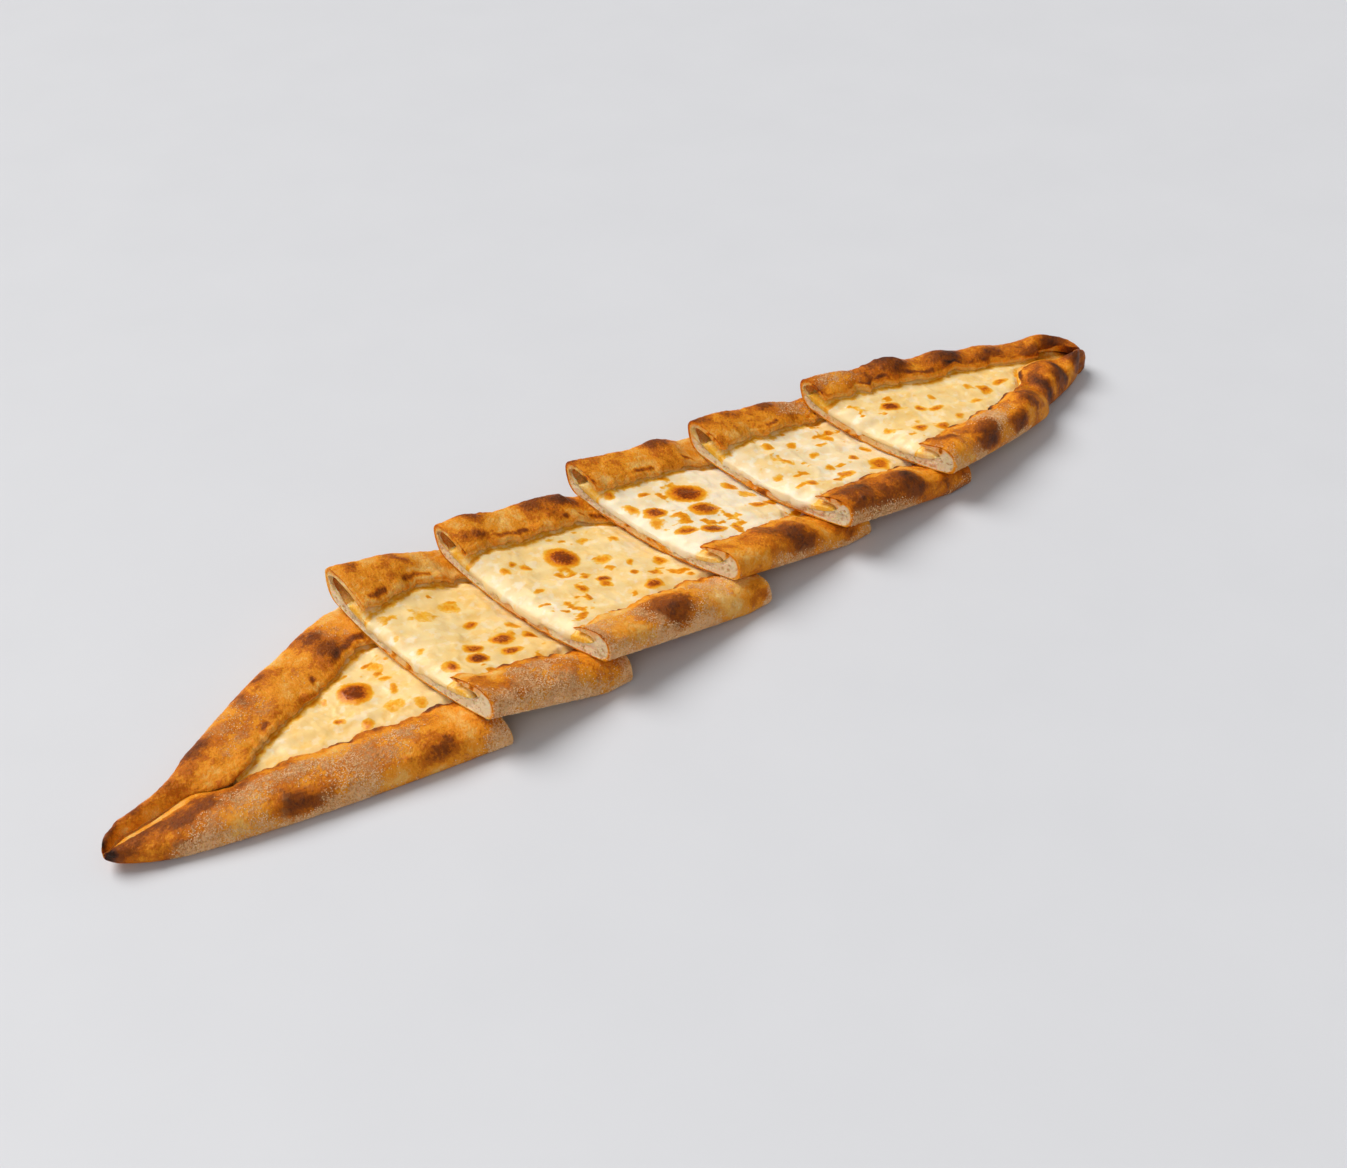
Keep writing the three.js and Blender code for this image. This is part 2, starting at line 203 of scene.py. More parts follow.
@dataclass(frozen=True)
class Pattern:
    """Noise that every slice has its own copy of.

    Attributes:
        seed: Its seed, to which the slice's number is added.
        size: Size of its largest lumps in mm.
        octaves: How many finer layers are added.
    """

    seed: int
    size: float
    octaves: int = 3

    def at(self, index: int, points: Array) -> Array:
        """The noise of one slice at rows of three coordinates."""
        return Noise(self.seed + index, self.octaves).at(points, self.size)

    def on(self, index: int, *place: Array) -> Array:
        """The noise of one slice at points given by their three coordinates."""
        return self.at(index, np.stack(place, -1))


@dataclass(frozen=True)
class Mark:
    """A toasted spot, on the cheese or on a rim.

    Attributes:
        along: Place along the uncut boat.
        across: Place to the far side of its middle line.
        size: Radius, along the boat.
        depth: How dark it is, from 0 to 1, or how pale if it is negative.
        stretch: Radius across the boat, as a share of the other.
    """

    along: float
    across: float
    size: float
    depth: float
    stretch: float = 1.0

    def distance(self, s: Array, y: Array) -> Array:
        """Distance from the spot's middle in its own radii."""
        return np.hypot((s - self.along) / self.size, (y - self.across) / (self.size * self.stretch))


def marks_of(*rows: tuple[float, ...]) -> tuple[Mark, ...]:
    """Marks from rows of their values, in the order of the fields."""
    return tuple(Mark(*row) for row in rows)


@dataclass(frozen=True)
class Rim:
    """A folded rim of the boat.

    Attributes:
        side: Near or far.
        height: Height over the base's underside.
        crumb: Depth of solid crumb in the fold.
        folds: Width of the fold at the pinched end, the waist, the round end and its tip.
        blisters: Puffs, and creases as negative ones: place, rise, half length.
        skin: Its outside, from the underside to the lip: distance in as a share of the fold and in mm,
            height as a share of the rim's, share of a blister's rise.
        inside: Its inside, from the lip to the floor: distance in as a share of the room, height in an open
            fold and in a closed one.
        reach: How far the cheese runs in under the fold.
        level: How high the cheese stands there.
        browning: How brown the rim of each slice is.
        flour: How floury the rim of each slice is.
        dusty_top: How much of that flour the top keeps.
        dusty_to: Where along the boat the flour ends.
        sinks: How far the rim sinks towards the seam of the pinched tip.
        marks: The dark marks, which are puffed too.
        dusted: Patches of flour.
    """

    side: Side
    height: float
    crumb: float
    folds: tuple[float, float, float, float]
    blisters: tuple[Triple, ...]
    skin: tuple[tuple[float, float, float, float], ...]
    inside: tuple[Triple, ...]
    reach: float
    level: float
    browning: tuple[float, ...]
    flour: tuple[float, ...]
    dusty_top: tuple[float, ...]
    sinks: float
    dusty_to: Range
    marks: tuple[Mark, ...]
    dusted: tuple[Mark, ...] = ()


NEAR_RIM = Rim(
    side=Side.NEAR,
    height=12.6,
    crumb=9.5,
    folds=(27, 22.5, 20.5, 24),
    blisters=(
        (62, 0.8, 12), (118, 1.2, 14), (190, 1.2, 12), (263, 2.4, 13), (332, 1.8, 7), (350, 1.8, 8),
        (400, 1.4, 7), (430, 2.2, 10), (482, 1.5, 8), (508, 3, 11), (543, 3.8, 9), (561, -2.2, 5),
        (577, 3.4, 8), (590, -1.2, 4), (602, 3, 7),
    ),
    skin=(
        (0.36, 4, 0, 0), (0, 3.2, 0, 0), (0, 1, 0.1, 0), (0, 0.1, 0.32, 0), (0, 0.9, 0.56, 0.2),
        (0.12, 0, 0.78, 0.6), (0.27, 0, 0.93, 0.95), (0.47, 0, 1, 1), (0.74, 0, 0.97, 0.7),
        (0.94, 0, 0.88, 0.25), (1, 0, 0.81, 0),
    ),
    inside=((0.9, 0.78, 0.71), (0.45, 0.78, 0.7), (0.14, 0.73, 0.7), (0, 0.6, 0.66), (0.14, 0.5, 0.62)),
    reach=13,
    level=8.4,
    browning=(0.40, 0.42, 0.37, 0.43, 0.54, 0.46),
    flour=(1.05, 0.95, 1.1, 0.8, 0.7, 1.2),
    dusty_top=(0.55, 0.6, 0.6, 0.2, 0.15, 0.8),
    sinks=0.08,
    dusty_to=(530, 552),
    marks=marks_of(
        (13, -2, 8, 0.4, 0.5), (35, -6, 10, 0.5, 0.4), (67, -31, 9, 0.5, 0.6), (84, -34, 14, 0.05, 0.5),
        (118, -47, 11, 0.55, 0.5), (182, -25, 10, 0.45, 0.2), (204, -32, 5, 0.3), (257, -43, 10, 0.7, 0.8),
        (264, -40, 15, 0.12, 0.6), (285, -42, 12, -0.3, 0.7), (301, -50, 6, 0.4), (334, -36, 7, 0.6, 0.8),
        (345, -44, 8, 0.6, 0.9), (362, -40, 7, -0.2, 0.8), (375, -46, 6, 0.35, 0.7),
        (404, -36, 8, 0.65, 0.8), (431, -40, 8, 1.0, 0.9), (447, -38, 6, -0.25, 0.8),
        (482, -30, 5, 0.75, 0.6), (502, -38, 9, 1.0, 0.8), (531, -34, 6, 0.5, 1.0),
        (547, -24, 9, 0.8, 0.6), (566, -19, 4, 0.9, 2.0), (574, -16, 4, -0.3, 2.0),
        (583, -11, 5, 1.0, 1.8), (593, -8, 4, -0.3, 2.0), (602, -4, 5, 0.8, 1.4),
    ),
)

FAR_RIM = Rim(
    side=Side.FAR,
    height=14,
    crumb=2,
    folds=(28, 19.5, 15, 15.5),
    blisters=(
        (93, 1, 12), (120, 1.6, 12), (171, 1.6, 12), (227, 1.2, 9), (268, 1.6, 14), (353, 2.6, 9),
        (400, 1.2, 9), (430, 1.6, 12), (483, 1, 8), (514, 3.2, 10), (541, 2.6, 9), (566, 1.4, 8),
        (598, 2.8, 9),
    ),
    skin=(
        (0.36, 4, 0, 0), (0, 7, 0, 0), (0, 3.4, 0.12, 0), (0, 1, 0.38, 0), (0, 0, 0.7, 0.3),
        (0.1, 0, 0.92, 0.9), (0.32, 0, 1, 1), (0.62, 0, 0.99, 0.9), (0.86, 0, 0.93, 0.5),
        (0.97, 0, 0.87, 0.2), (1, 0, 0.8, 0),
    ),
    inside=((0.95, 0.67, 0.7), (0.62, 0.83, 0.7), (0.18, 0.83, 0.7), (0, 0.62, 0.66), (0.12, 0.44, 0.62)),
    reach=12,
    level=9.1,
    browning=(0.35, 0.26, 0.41, 0.31, 0.41, 0.47),
    flour=(0.6, 0.05, 0.1, 0.05, 0.1, 0.1),
    dusty_top=(0.7, 0.5, 0.5, 0.5, 1.0, 1.0),
    sinks=0.3,
    dusty_to=(500, 515),
    marks=marks_of(
        (17, 9, 14, 0.35, 0.3), (52, 18, 7, 0.5, 0.8), (93, 35, 10, 0.5, 0.4), (101, 15, 6, 0.4, 0.4),
        (120, 30, 8, 0.5, 0.9), (120, 42, 7, 0.45, 0.9), (155, 47, 6, 0.5), (168, 43, 8, 0.3, 0.8),
        (179, 46, 8, 0.65, 0.6), (232, 51, 8, 0.55, 0.6), (228, 39, 6, 0.6, 0.4), (265, 50, 11, 0.85, 0.6),
        (277, 45, 11, 0.85, 0.5), (310, 49, 8, 0.3, 0.5), (321, 36, 8, 0.3, 0.4), (354, 45, 9, 0.75, 0.7),
        (393, 44, 6, 0.35, 0.8), (408, 45, 9, 0.45, 0.6), (428, 43, 8, 0.45, 0.6), (514, 34, 9, 0.95, 0.7),
        (542, 26, 8, 0.75, 0.6), (564, 17, 8, 0.4, 0.5), (585, 9, 5, 0.7, 0.8), (606, 9, 8, 0.6, 0.5),
    ),
    dusted=marks_of((444, 40, 22, 0.7, 0.7), (484, 38, 17, 0.75, 0.8)),
)

RIMS = (NEAR_RIM, FAR_RIM)


@dataclass
class Section:
    """A rim's section at many places along the boat.

    Attributes:
        half: Half width of the boat.
        fold: Width of the fold.
        deep: Where the fold's hollow ends.
        high: Height with its blisters.
        skin: Distance in and height of the points from the underside to the lip.
        inside: The same from the lip back to the base's top.
    """

    half: Array
    fold: Array
    deep: Array
    high: Array
    skin: Array
    inside: Array


@dataclass(frozen=True)
class Boat:
    """The uncut boat of dough: every size as a function of the place along it.

    Pairs for a step are where along the boat it starts and ends, for taper_round, closed_round, seam_opens,
    seam_ends and ragged_ends counted from the round tip. near_tip and far_tip are the length and the power of
    a swell, and thinnest_fold is a share of the half width and the most in mm.
    """

    length: float = 614
    cuts: tuple[float, ...] = (149, 217, 307, 389, 471)
    base: float = 4
    widest: float = 54
    widest_at: float = 200
    narrowest: float = 1.4
    near_tip: Range = (148, 0.68)
    far_tip: Range = (100, 0.65)
    neck: float = 10.5
    neck_to: float = 38
    neck_soft: float = 7
    nose: float = 13
    round_from: float = 471
    round_half: float = 45
    round_power: float = 0.45
    round_nose: float = 6.5
    lips_meet: Range = (599, 606)
    notch: Range = (556, 568)
    notch_step: float = 5
    waves: tuple[Range, ...] = ((7.3, 1), (4.1, 2.3), (17, 4.1))
    fold_steps: tuple[Range, ...] = ((140, 185), (390, 500), (558, 578))
    lip_wave: float = 1.2
    skin_wave: float = 0.5
    thinnest_fold: Range = (0.55, 2)
    taper_pinched: Range = (-6, 48)
    taper_round: Range = (-60, 20)
    tip_height: float = 0.42
    closed_pinched: Range = (34, 62)
    closed_round: Range = (6, 25)
    closed_round_share: float = 0.75
    closed_deep: float = 0.82
    closed_floor: float = 0.42
    seam_half: float = 0.7
    seam_nose: float = 0.15
    seam_opens: Range = (2, 8)
    seam_starts: Range = (0, 12)
    seam_swings: Range = (36, 54)
    seam_crosses: Range = (100, 560)
    seam_ends: Range = (2, 22)
    seam_at: Triple = (4.5, -4, 4.5)
    groove: float = 0.6
    groove_ends: Range = (24, 44)
    pocket: float = 4.5
    pocket_floor: float = 2.5
    pocket_starts: Range = (588, 594)
    pocket_ends: Range = (602, 609)
    floor_ease: Triple = (0.5, 0.8, 0.6)
    ragged: float = 1.2
    ragged_size: float = 5
    ragged_seed: int = 40
    ragged_starts: Range = (40, 70)
    ragged_ends: Range = (20, 50)
    lip_phase: float = 5
    met_part: float = 0.7
    met_height: float = 0.97

    def half_width(self, s: Array, rim: Rim) -> Array:
        """Half width of the boat on one side, at places s."""
        straight = self.widest * (np.maximum(s, 0) / self.near_tip[0]) ** self.near_tip[1]
        past = s - self.neck_to
        swollen = ((past + np.hypot(past, self.neck_soft)) / 2 / self.far_tip[0]) ** self.far_tip[1]
        swell = lerp(self.neck, self.widest, swollen) * np.sqrt(np.clip(s / self.nose, 0, 1))
        past_widest = np.clip((s - self.widest_at) / (self.round_from - self.widest_at), 0, 1)
        waist = lerp(self.widest, self.round_half, past_widest)
        left = np.clip((self.length - s) / (self.length - self.round_from), 0, 1)
        rounded = waist - self.round_half * (1 - left**self.round_power)
        notched = rounded - self.notch_step * smooth(s, *self.notch)
        pinched, blunt = (swell, rounded) if rim.side is Side.FAR else (straight, notched)
        widest = np.minimum(np.minimum(pinched, waist), np.maximum(self.round_nose, blunt))
        return np.maximum(self.narrowest, widest)

    def uneven(self, s: Array, phase: float) -> Array:
        """A gentle unevenness between -1 and 1, from waves that never line up."""
        return sum(np.sin(s / length + share * phase) for length, share in self.waves) / len(self.waves)

    def rim_height(self, s: Array, rim: Rim) -> Array:
        """Height of a rim without its blisters: low at both tips."""
        taper = smooth(s, *self.taper_pinched) * smooth(self.length - s, *self.taper_round)
        return rim.height * lerp(self.tip_height, 1, taper)

    def puff(self, s: Array, rim: Rim) -> Array:
        """How far the blisters of a rim raise its top."""
        puffs = sum(rise * bump_of((s - at) / spread) for at, rise, spread in rim.blisters)
        return puffs + self.skin_wave * self.uneven(s, rim.side.value)

    def closed(self, s: Array) -> Array:
        """How far a fold is closed into solid dough: fully at the pinched tip, largely at the round tip."""
        round_tip = self.closed_round_share * (1 - smooth(self.length - s, *self.closed_round))
        return np.maximum(1 - smooth(s, *self.closed_pinched), round_tip)

    def fold(self, s: Array, rim: Rim) -> tuple[Array, Array, Array]:
        """The fold on one side.

        Args:
            s: Places along the boat.
            rim: The rim on that side.

        Returns:
            The boat's half width, the fold's width, and how far the fold stays off the seam.
        """
        side = rim.side.value
        free = np.full_like(s, rim.folds[0])
        for step, wider in zip(self.fold_steps, rim.folds[1:]):
            free = lerp(free, wider, smooth(s, *step))
        free = free + self.lip_wave * self.uneven(s, self.lip_phase * side)
        open_lip = smooth(s, *self.ragged_starts) * smooth(self.length - s, *self.ragged_ends)
        free = free + self.ragged * open_lip * Noise(self.ragged_seed + side).along(s, self.ragged_size)
        started = smooth(s, *self.seam_starts)
        pinched = lerp(self.seam_at[0] * started, self.seam_at[1], smooth(s, *self.seam_swings))
        round_tip = self.seam_at[2] * smooth(self.length - s, *self.seam_ends)
        middle = lerp(pinched, round_tip, smooth(s, *self.seam_crosses))
        groove = self.groove * (1 - smooth(s, *self.groove_ends)) * started
        pocket = self.pocket * smooth(s, *self.pocket_starts) * (1 - smooth(s, *self.pocket_ends))
        half = self.half_width(s, rim)
        seam = self.seam_half * lerp(self.seam_nose, 1, smooth(self.length - s, *self.seam_opens))
        met = half - side * middle - seam - groove - pocket
        thinnest = np.minimum(self.thinnest_fold[0] * half, self.thinnest_fold[1])
        return half, np.maximum(thinnest, np.minimum(free, met)), met - free

    def section(self, s: Array, rim: Rim) -> Section:
        """The rim's section at places s."""
        half, fold, _ = self.fold(s, rim)
        high, puff, closed = self.rim_height(s, rim), self.puff(s, rim), self.closed(s)
        share = np.minimum(1, fold / rim.folds[2])
        deep = lerp(rim.crumb * share, self.closed_deep * fold, closed)
        room = fold - deep
        sunk = 1 - rim.sinks * (1 - smooth(s, *self.closed_pinched))
        filled = self.pocket_floor * smooth(s, *self.pocket_starts)
        floor = lerp(self.base, self.closed_floor * high * sunk, closed) + filled
        eased = lerp(floor + self.floor_ease[1], self.floor_ease[2] * high * sunk, closed)
        skin, met = [], smooth(s, *self.lips_meet)
        for part, inset, tall, puffed in rim.skin:
            tall = lerp(tall, max(tall, self.met_height), met) if part > self.met_part else tall
            top = tall * high * lerp(1, sunk, min(1, max(0, 2 * part - 1)))
            skin.append((part * fold + inset * share, top + puffed * puff))
        inside = []
        for part, wide, shut in rim.inside:
            inside.append((deep + part * room, lerp(wide, shut * sunk, closed) * high))
        inside += [(deep + self.floor_ease[0] * room, eased), (fold, floor)]
        return Section(half, fold, deep, high + np.maximum(puff, 0), np.array(skin), np.array(inside))

    def parting(self, start: float, towards: float, apart: float = 0.9, stride: float = 0.5) -> float:
        """First place along the boat where the lips stand apart.

        Args:
            start: Where the search starts.
            towards: Where it goes.
            apart: How far apart they have to stand.
            stride: Length of its steps.

        Returns:
            The place.
        """
        step = math.copysign(stride, towards - start)
        s = start
        while max(float(self.fold(np.array([s]), rim)[2][0]) for rim in RIMS) < apart:
            s += step
        return s


@dataclass(frozen=True)
class Filling:
    """The cheese: its sizes and its toasted spots."""

    depth: float = 5.2
    ripple: float = 0.5
    deepest: float = 0.03
    thinnest: float = 0.3
    tapers: float = 0.35
    heaped: float = 1.5
    rises: Range = (0, 5)
    rounded: Range = (6, 13)
    slump: float = 0.6
    sunk: float = 0.15
    hang: float = 1.7
    overhang: float = 0.5
    bulge: float = 0.35
    wave: tuple[float, ...] = (5.3, 9, 6.1, 21, 3, 1.7)
    creamy: tuple[float, ...] = (0.05, 0.0, 0.1, 0.95, 0.4, 0.05)
    spots: tuple[tuple[Mark, ...], ...] = (
        marks_of(
            (118, 6, 6.2, 1.0), (133, 5, 2, 0.5), (131, -2, 2.2, 0.5), (104, -3, 2.4, 0.6),
            (111, -11, 2.4, 0.5), (134, -16, 3, 0.4), (125, -10, 3.6, 0.35), (134, 14, 3, 0.35),
            (106, 11, 1.8, 0.4),
        ),
        marks_of(
            (152, 23, 4, 0.6, 0.6), (151, 10, 1.8, 0.55), (153, -2, 2.2, 0.55), (156, -19, 3.4, 0.7),
            (183, 18, 4, 0.33), (169, 16, 4, 0.3), (183, 4, 3, 0.6, 0.7), (186, -11, 5, 0.85, 0.7),
            (172, -12, 3.6, 0.75), (169, -19, 4.4, 0.9, 0.7), (184, -20, 4, 0.75, 0.6),
            (198, -13, 2.8, 0.6), (196, -4, 2.6, 0.5),
        ),
        marks_of(
            (252, 15, 6.6, 1.0), (232, 21, 2, 0.5), (235, 17, 1.8, 0.5), (226, 18, 2.4, 0.5),
            (243, 6, 2, 0.5), (251, 0, 3, 0.55, 0.5), (256, -6, 2.8, 0.85), (254, -10, 2.4, 0.6),
            (243, -8, 2.8, 0.65), (270, -21, 4.2, 0.85, 0.7), (286, -6, 3, 0.6), (274, -1, 2, 0.45),
            (266, 6, 4.5, 0.45, 0.6), (282, 16, 2.8, 0.5), (269, 22, 2.5, 0.45), (285, -17, 2.4, 0.5),
        ),
        marks_of(
            (341, 13, 8.2, 1.0, 0.8), (337, -1, 6.2, 0.95, 0.8), (317, 7, 5, 0.85, 0.8),
            (308, 15, 5.6, 0.85, 0.8), (310, 28, 3.5, 0.6, 0.7), (310, 1, 4, 0.55),
            (317, -11, 5, 0.7, 0.7), (327, -16, 5.6, 0.95, 0.7), (337, -19, 3, 0.7), (324, -4, 2.6, 0.55),
            (360, -10, 3.8, 0.6, 0.7), (367, -9, 2.6, 0.6), (363, 9, 3.2, 0.5), (341, 27, 2.4, 0.45),
            (364, 1, 3.5, 0.4),
        ),
        marks_of(
            (442, -17, 4.6, 0.62), (422, -15, 3.6, 0.55, 0.7), (395, -1, 2.4, 0.45),
            (401, -14, 3, 0.6, 0.7), (410, 20, 2.8, 0.55), (422, 17, 2.6, 0.5), (442, 14, 3.2, 0.5),
            (423, 5, 3, 0.5, 0.6), (437, -6, 3, 0.65, 0.7), (449, -2, 2.2, 0.5), (420, -7, 2.4, 0.5),
            (409, 6, 2.4, 0.45),
        ),
        marks_of(
            (493, 12, 4.8, 0.95, 0.8), (504, 3, 3, 0.6), (510, -1, 4, 0.62, 0.6),
            (489, -10, 3.8, 0.7, 0.8), (498, -15, 3, 0.65), (476, -3, 3, 0.45), (543, -1, 3, 0.65),
            (538, 4, 2.6, 0.45), (555, 0, 4, 0.6, 0.5), (531, -6, 4, 0.45, 0.6), (513, -12, 2.6, 0.5),
            (516, 7, 2.2, 0.45),
        ),
    )

    def top(self, boat: Boat, s: Array, y: Array) -> Array:
        """Height of the cheese's open surface over the base's underside."""
        along, across, second, drift, lean, phase = self.wave
        ripple = np.sin(s / along + y / across) * np.cos(y / second - s / drift)
        ripple = ripple + boat.uneven(s + lean * y, phase)
        return boat.base + self.depth + self.ripple * ripple


@dataclass(frozen=True)
class Lie:
    """Where a slice lies: its left end's middle and height, its turn in the row and the slant of its cuts."""

    x: float
    y: float
    lift: float
    turn: float
    cut: float


LAID = (
    Lie(-268, 3, 0, 4.5, 1),
    Lie(-127.5, 17.4, 10.5, -3, 8.2),
    Lie(-73, 14.5, 10.5, -1.5, 8.6),
    Lie(1, 19, 10.5, -1, 10.8),
    Lie(64.9, 12.8, 10.5, 0, 9.7),
    Lie(130.7, 9.5, 10.5, -1.6, 10.9),
)


@dataclass
class Surface:
    """A mesh on its way to Blender.

    Attributes:
        points: Rows of X, Y, Z in mm.
        quads: Rows of four corners.
        fields: Values at the points, by field.
        triangles: Rows of three corners.
    """

    points: Array
    quads: Array
    fields: dict[Field, Array]
    triangles: Array = field(default_factory=lambda: np.zeros((0, 3), int))

    def to_object(self, name: str) -> bpy.types.Object:
        """A Blender object of this mesh, with faces out and at the origin.

        Args:
            name: The piece's name.

        Returns:
            The linked object.
        """
        a, b, c, d = (self.points[self.quads[:, i]] for i in range(4))
        volume = np.einsum("ij,ij->", a, np.cross(b, c)) + np.einsum("ij,ij->", a, np.cross(c, d))
        turn = 1 if volume > 0 else -1
        faces = [list(corners)[::turn] for corners in (*self.quads.tolist(), *self.triangles.tolist())]
        mesh = bpy.data.meshes.new(name)
        mesh.from_pydata((self.points * MM).tolist(), [], faces)
        for key, values in self.fields.items():
            attribute = mesh.attributes.new(key.value, "FLOAT", "POINT")
            attribute.data.foreach_set("value", np.asarray(values, np.float32))
        mesh.polygons.foreach_set("use_smooth", np.ones(len(faces), bool))
        mesh.update()
        obj = bpy.data.objects.new(name, mesh)
        bpy.context.scene.collection.objects.link(obj)
        return obj


def closed_spline(control: Array, steps: Sequence[int]) -> Array:
    """A smooth closed line through control points.

    Args:
        control: Control points, by point, place and coordinate.
        steps: How many points each stretch is divided into.

    Returns:
        Points in the same layout.
    """
    count = len(control)
    made = []
    for i, n in enumerate(steps):
        p0, p1, p2, p3 = (control[(i + k) % count] for k in (-1, 0, 1, 2))
        reach = np.linalg.norm(p2 - p1, axis=-1, keepdims=True)
        before = np.linalg.norm(p1 - p0, axis=-1, keepdims=True) + 1e-9
        after = np.linalg.norm(p3 - p2, axis=-1, keepdims=True) + 1e-9
        m1 = ((p1 - p0) / before * reach + (p2 - p1)) / (before + reach + 1e-9) * np.minimum(before, reach)
        m2 = ((p3 - p2) / after * reach + (p2 - p1)) / (after + reach + 1e-9) * np.minimum(after, reach)
        for t in np.arange(n) / n:
            h = (2 * t**3 - 3 * t**2 + 1, t**3 - 2 * t**2 + t, 3 * t**2 - 2 * t**3, t**3 - t**2)
            made.append(h[0] * p1 + h[1] * m1 + h[2] * p2 + h[3] * m2)
    return np.array(made)


@dataclass
class Slice:
    """A slice of the boat, as it lies in the row.

    Attributes:
        index: Its number from the pinched tip, from 0.
        boat: The dough that it is cut from.
        filling: The cheese in it.
        laid: Where it lies.
        above: The slice that lies on its right end.
    """

    index: int
    boat: Boat
    filling: Filling
    laid: Lie
    above: Optional["Slice"] = None
    heel: float = 4
    sag: float = 0.00275
    touch: float = 0.3
    press_ease: float = 0.03
    press_step: Range = (-6, -1)
    curl: float = 5
    curl_reach: float = 30
    station: float = 0.6

    @property
    def first(self) -> bool:
        """Whether it has the pinched tip."""
        return self.index == 0

    @property
    def last(self) -> bool:
        """Whether it has the round tip."""
        return self.index == len(self.boat.cuts)

    @property
    def start(self) -> float:
        """Place of its left end along the boat."""
        return 0 if self.first else self.boat.cuts[self.index - 1]

    @property
    def end(self) -> float:
        """Place of its right end along the boat."""
        return self.boat.length if self.last else self.boat.cuts[self.index]

    @property
    def length(self) -> float:
        """Length along the boat."""
        return self.end - self.start

    @property
    def pitch(self) -> float:
        """How steeply it lies, in radians."""
        return math.asin(self.laid.lift / (self.length - self.heel))

    def slant(self, x: Array) -> Array:
        """Sideways slant of the section at a distance along: full at a cut, none at a tip."""
        share = x / self.length if self.first else 1 - x / self.length if self.last else np.ones_like(x)
        return math.tan(math.radians(self.laid.cut)) * np.clip(share, 0, 1)

    def bend(self, x: Array, y: Array) -> Array:
        """How far it is bent up at a place: hull-shaped sag, flattened heel and curled tip."""
        flat = self.length - self.heel
        raised = math.tan(self.pitch) * np.maximum(0, x - flat)
        if self.first:
            return raised + self.curl * np.clip(1 - x / self.curl_reach, 0, 1) ** 2
        return raised + self.sag * np.clip(1 - x / flat, 0, 1) * y * y

    def to_row(self, x: Array, y: Array, z: Array) -> tuple[Array, Array, Array]:
        """Carries points from the slice's own frame to the row."""
        cp, sp = math.cos(self.pitch), math.sin(self.pitch)
        ct, st = math.cos(math.radians(self.laid.turn)), math.sin(math.radians(self.laid.turn))
        level, up = x * cp + z * sp, z * cp - x * sp
        return level * ct - y * st + self.laid.x, level * st + y * ct + self.laid.y, up + self.laid.lift

    def underside(self, row_x: Array, row_y: Array) -> Array:
        """Height of its underside over the surface, at places in the row."""
        dx, dy = row_x - self.laid.x, row_y - self.laid.y
        ct, st = math.cos(math.radians(self.laid.turn)), math.sin(math.radians(self.laid.turn))
        x, y = (dx * ct + dy * st) / math.cos(self.pitch), dy * ct - dx * st
        ahead = np.maximum(0, -(x + y * self.slant(np.zeros_like(x))))
        lying = self.laid.lift - x * math.sin(self.pitch) + self.bend(np.maximum(x, 0), y)
        return lying + self.press_ease * ahead**2

    def stack(self, s: Array, y: Array) -> Array:
        """Height of the food at places across the stations: cheese in the middle, rims at the sides."""
        made = np.zeros_like(y)
        middle = self.boat.base + self.filling.depth + 2 * self.filling.ripple
        for rim in RIMS:
            sec = self.boat.section(s[:, 0], rim)
            past = np.abs(y) - (sec.half - sec.fold)[:, None]
            tall = lerp(middle, sec.high[:, None], smooth(past, *self.press_step))
            made = np.where(y * rim.side.value >= 0, tall, made)
        return made

    def laid_points(self, s: Array, y: Array, z: Array) -> Array:
        """Sets section points in their place in the part's frame.

        Args:
            s: Places along the boat, one column.
            y: Distance to the far side, by station and point.
            z: Height over the base's underside.

        Returns:
            X, Y, Z of each point, by station and point.
        """
        x = s - self.start
        x = x - y * self.slant(x)
        bend = self.bend(x, y)
        squeeze = np.ones_like(y)
        if self.above is not None:
            foot = self.to_row(x, y, bend)
            room = self.above.underside(foot[0], foot[1]) - self.touch - foot[2]
            squeeze = np.minimum(1, room / self.stack(s, y))
        placed = self.to_row(x, y, bend + z * squeeze)
        return np.stack([p + shift for p, shift in zip(placed, ROW_SHIFT)], -1)

    def stations(self, start: float, end: float) -> Array:
        """Places along the boat, about evenly spaced, as one column."""
        count = max(2, round((end - start) / self.station))
        return np.linspace(start, end, count + 1)[:, None]


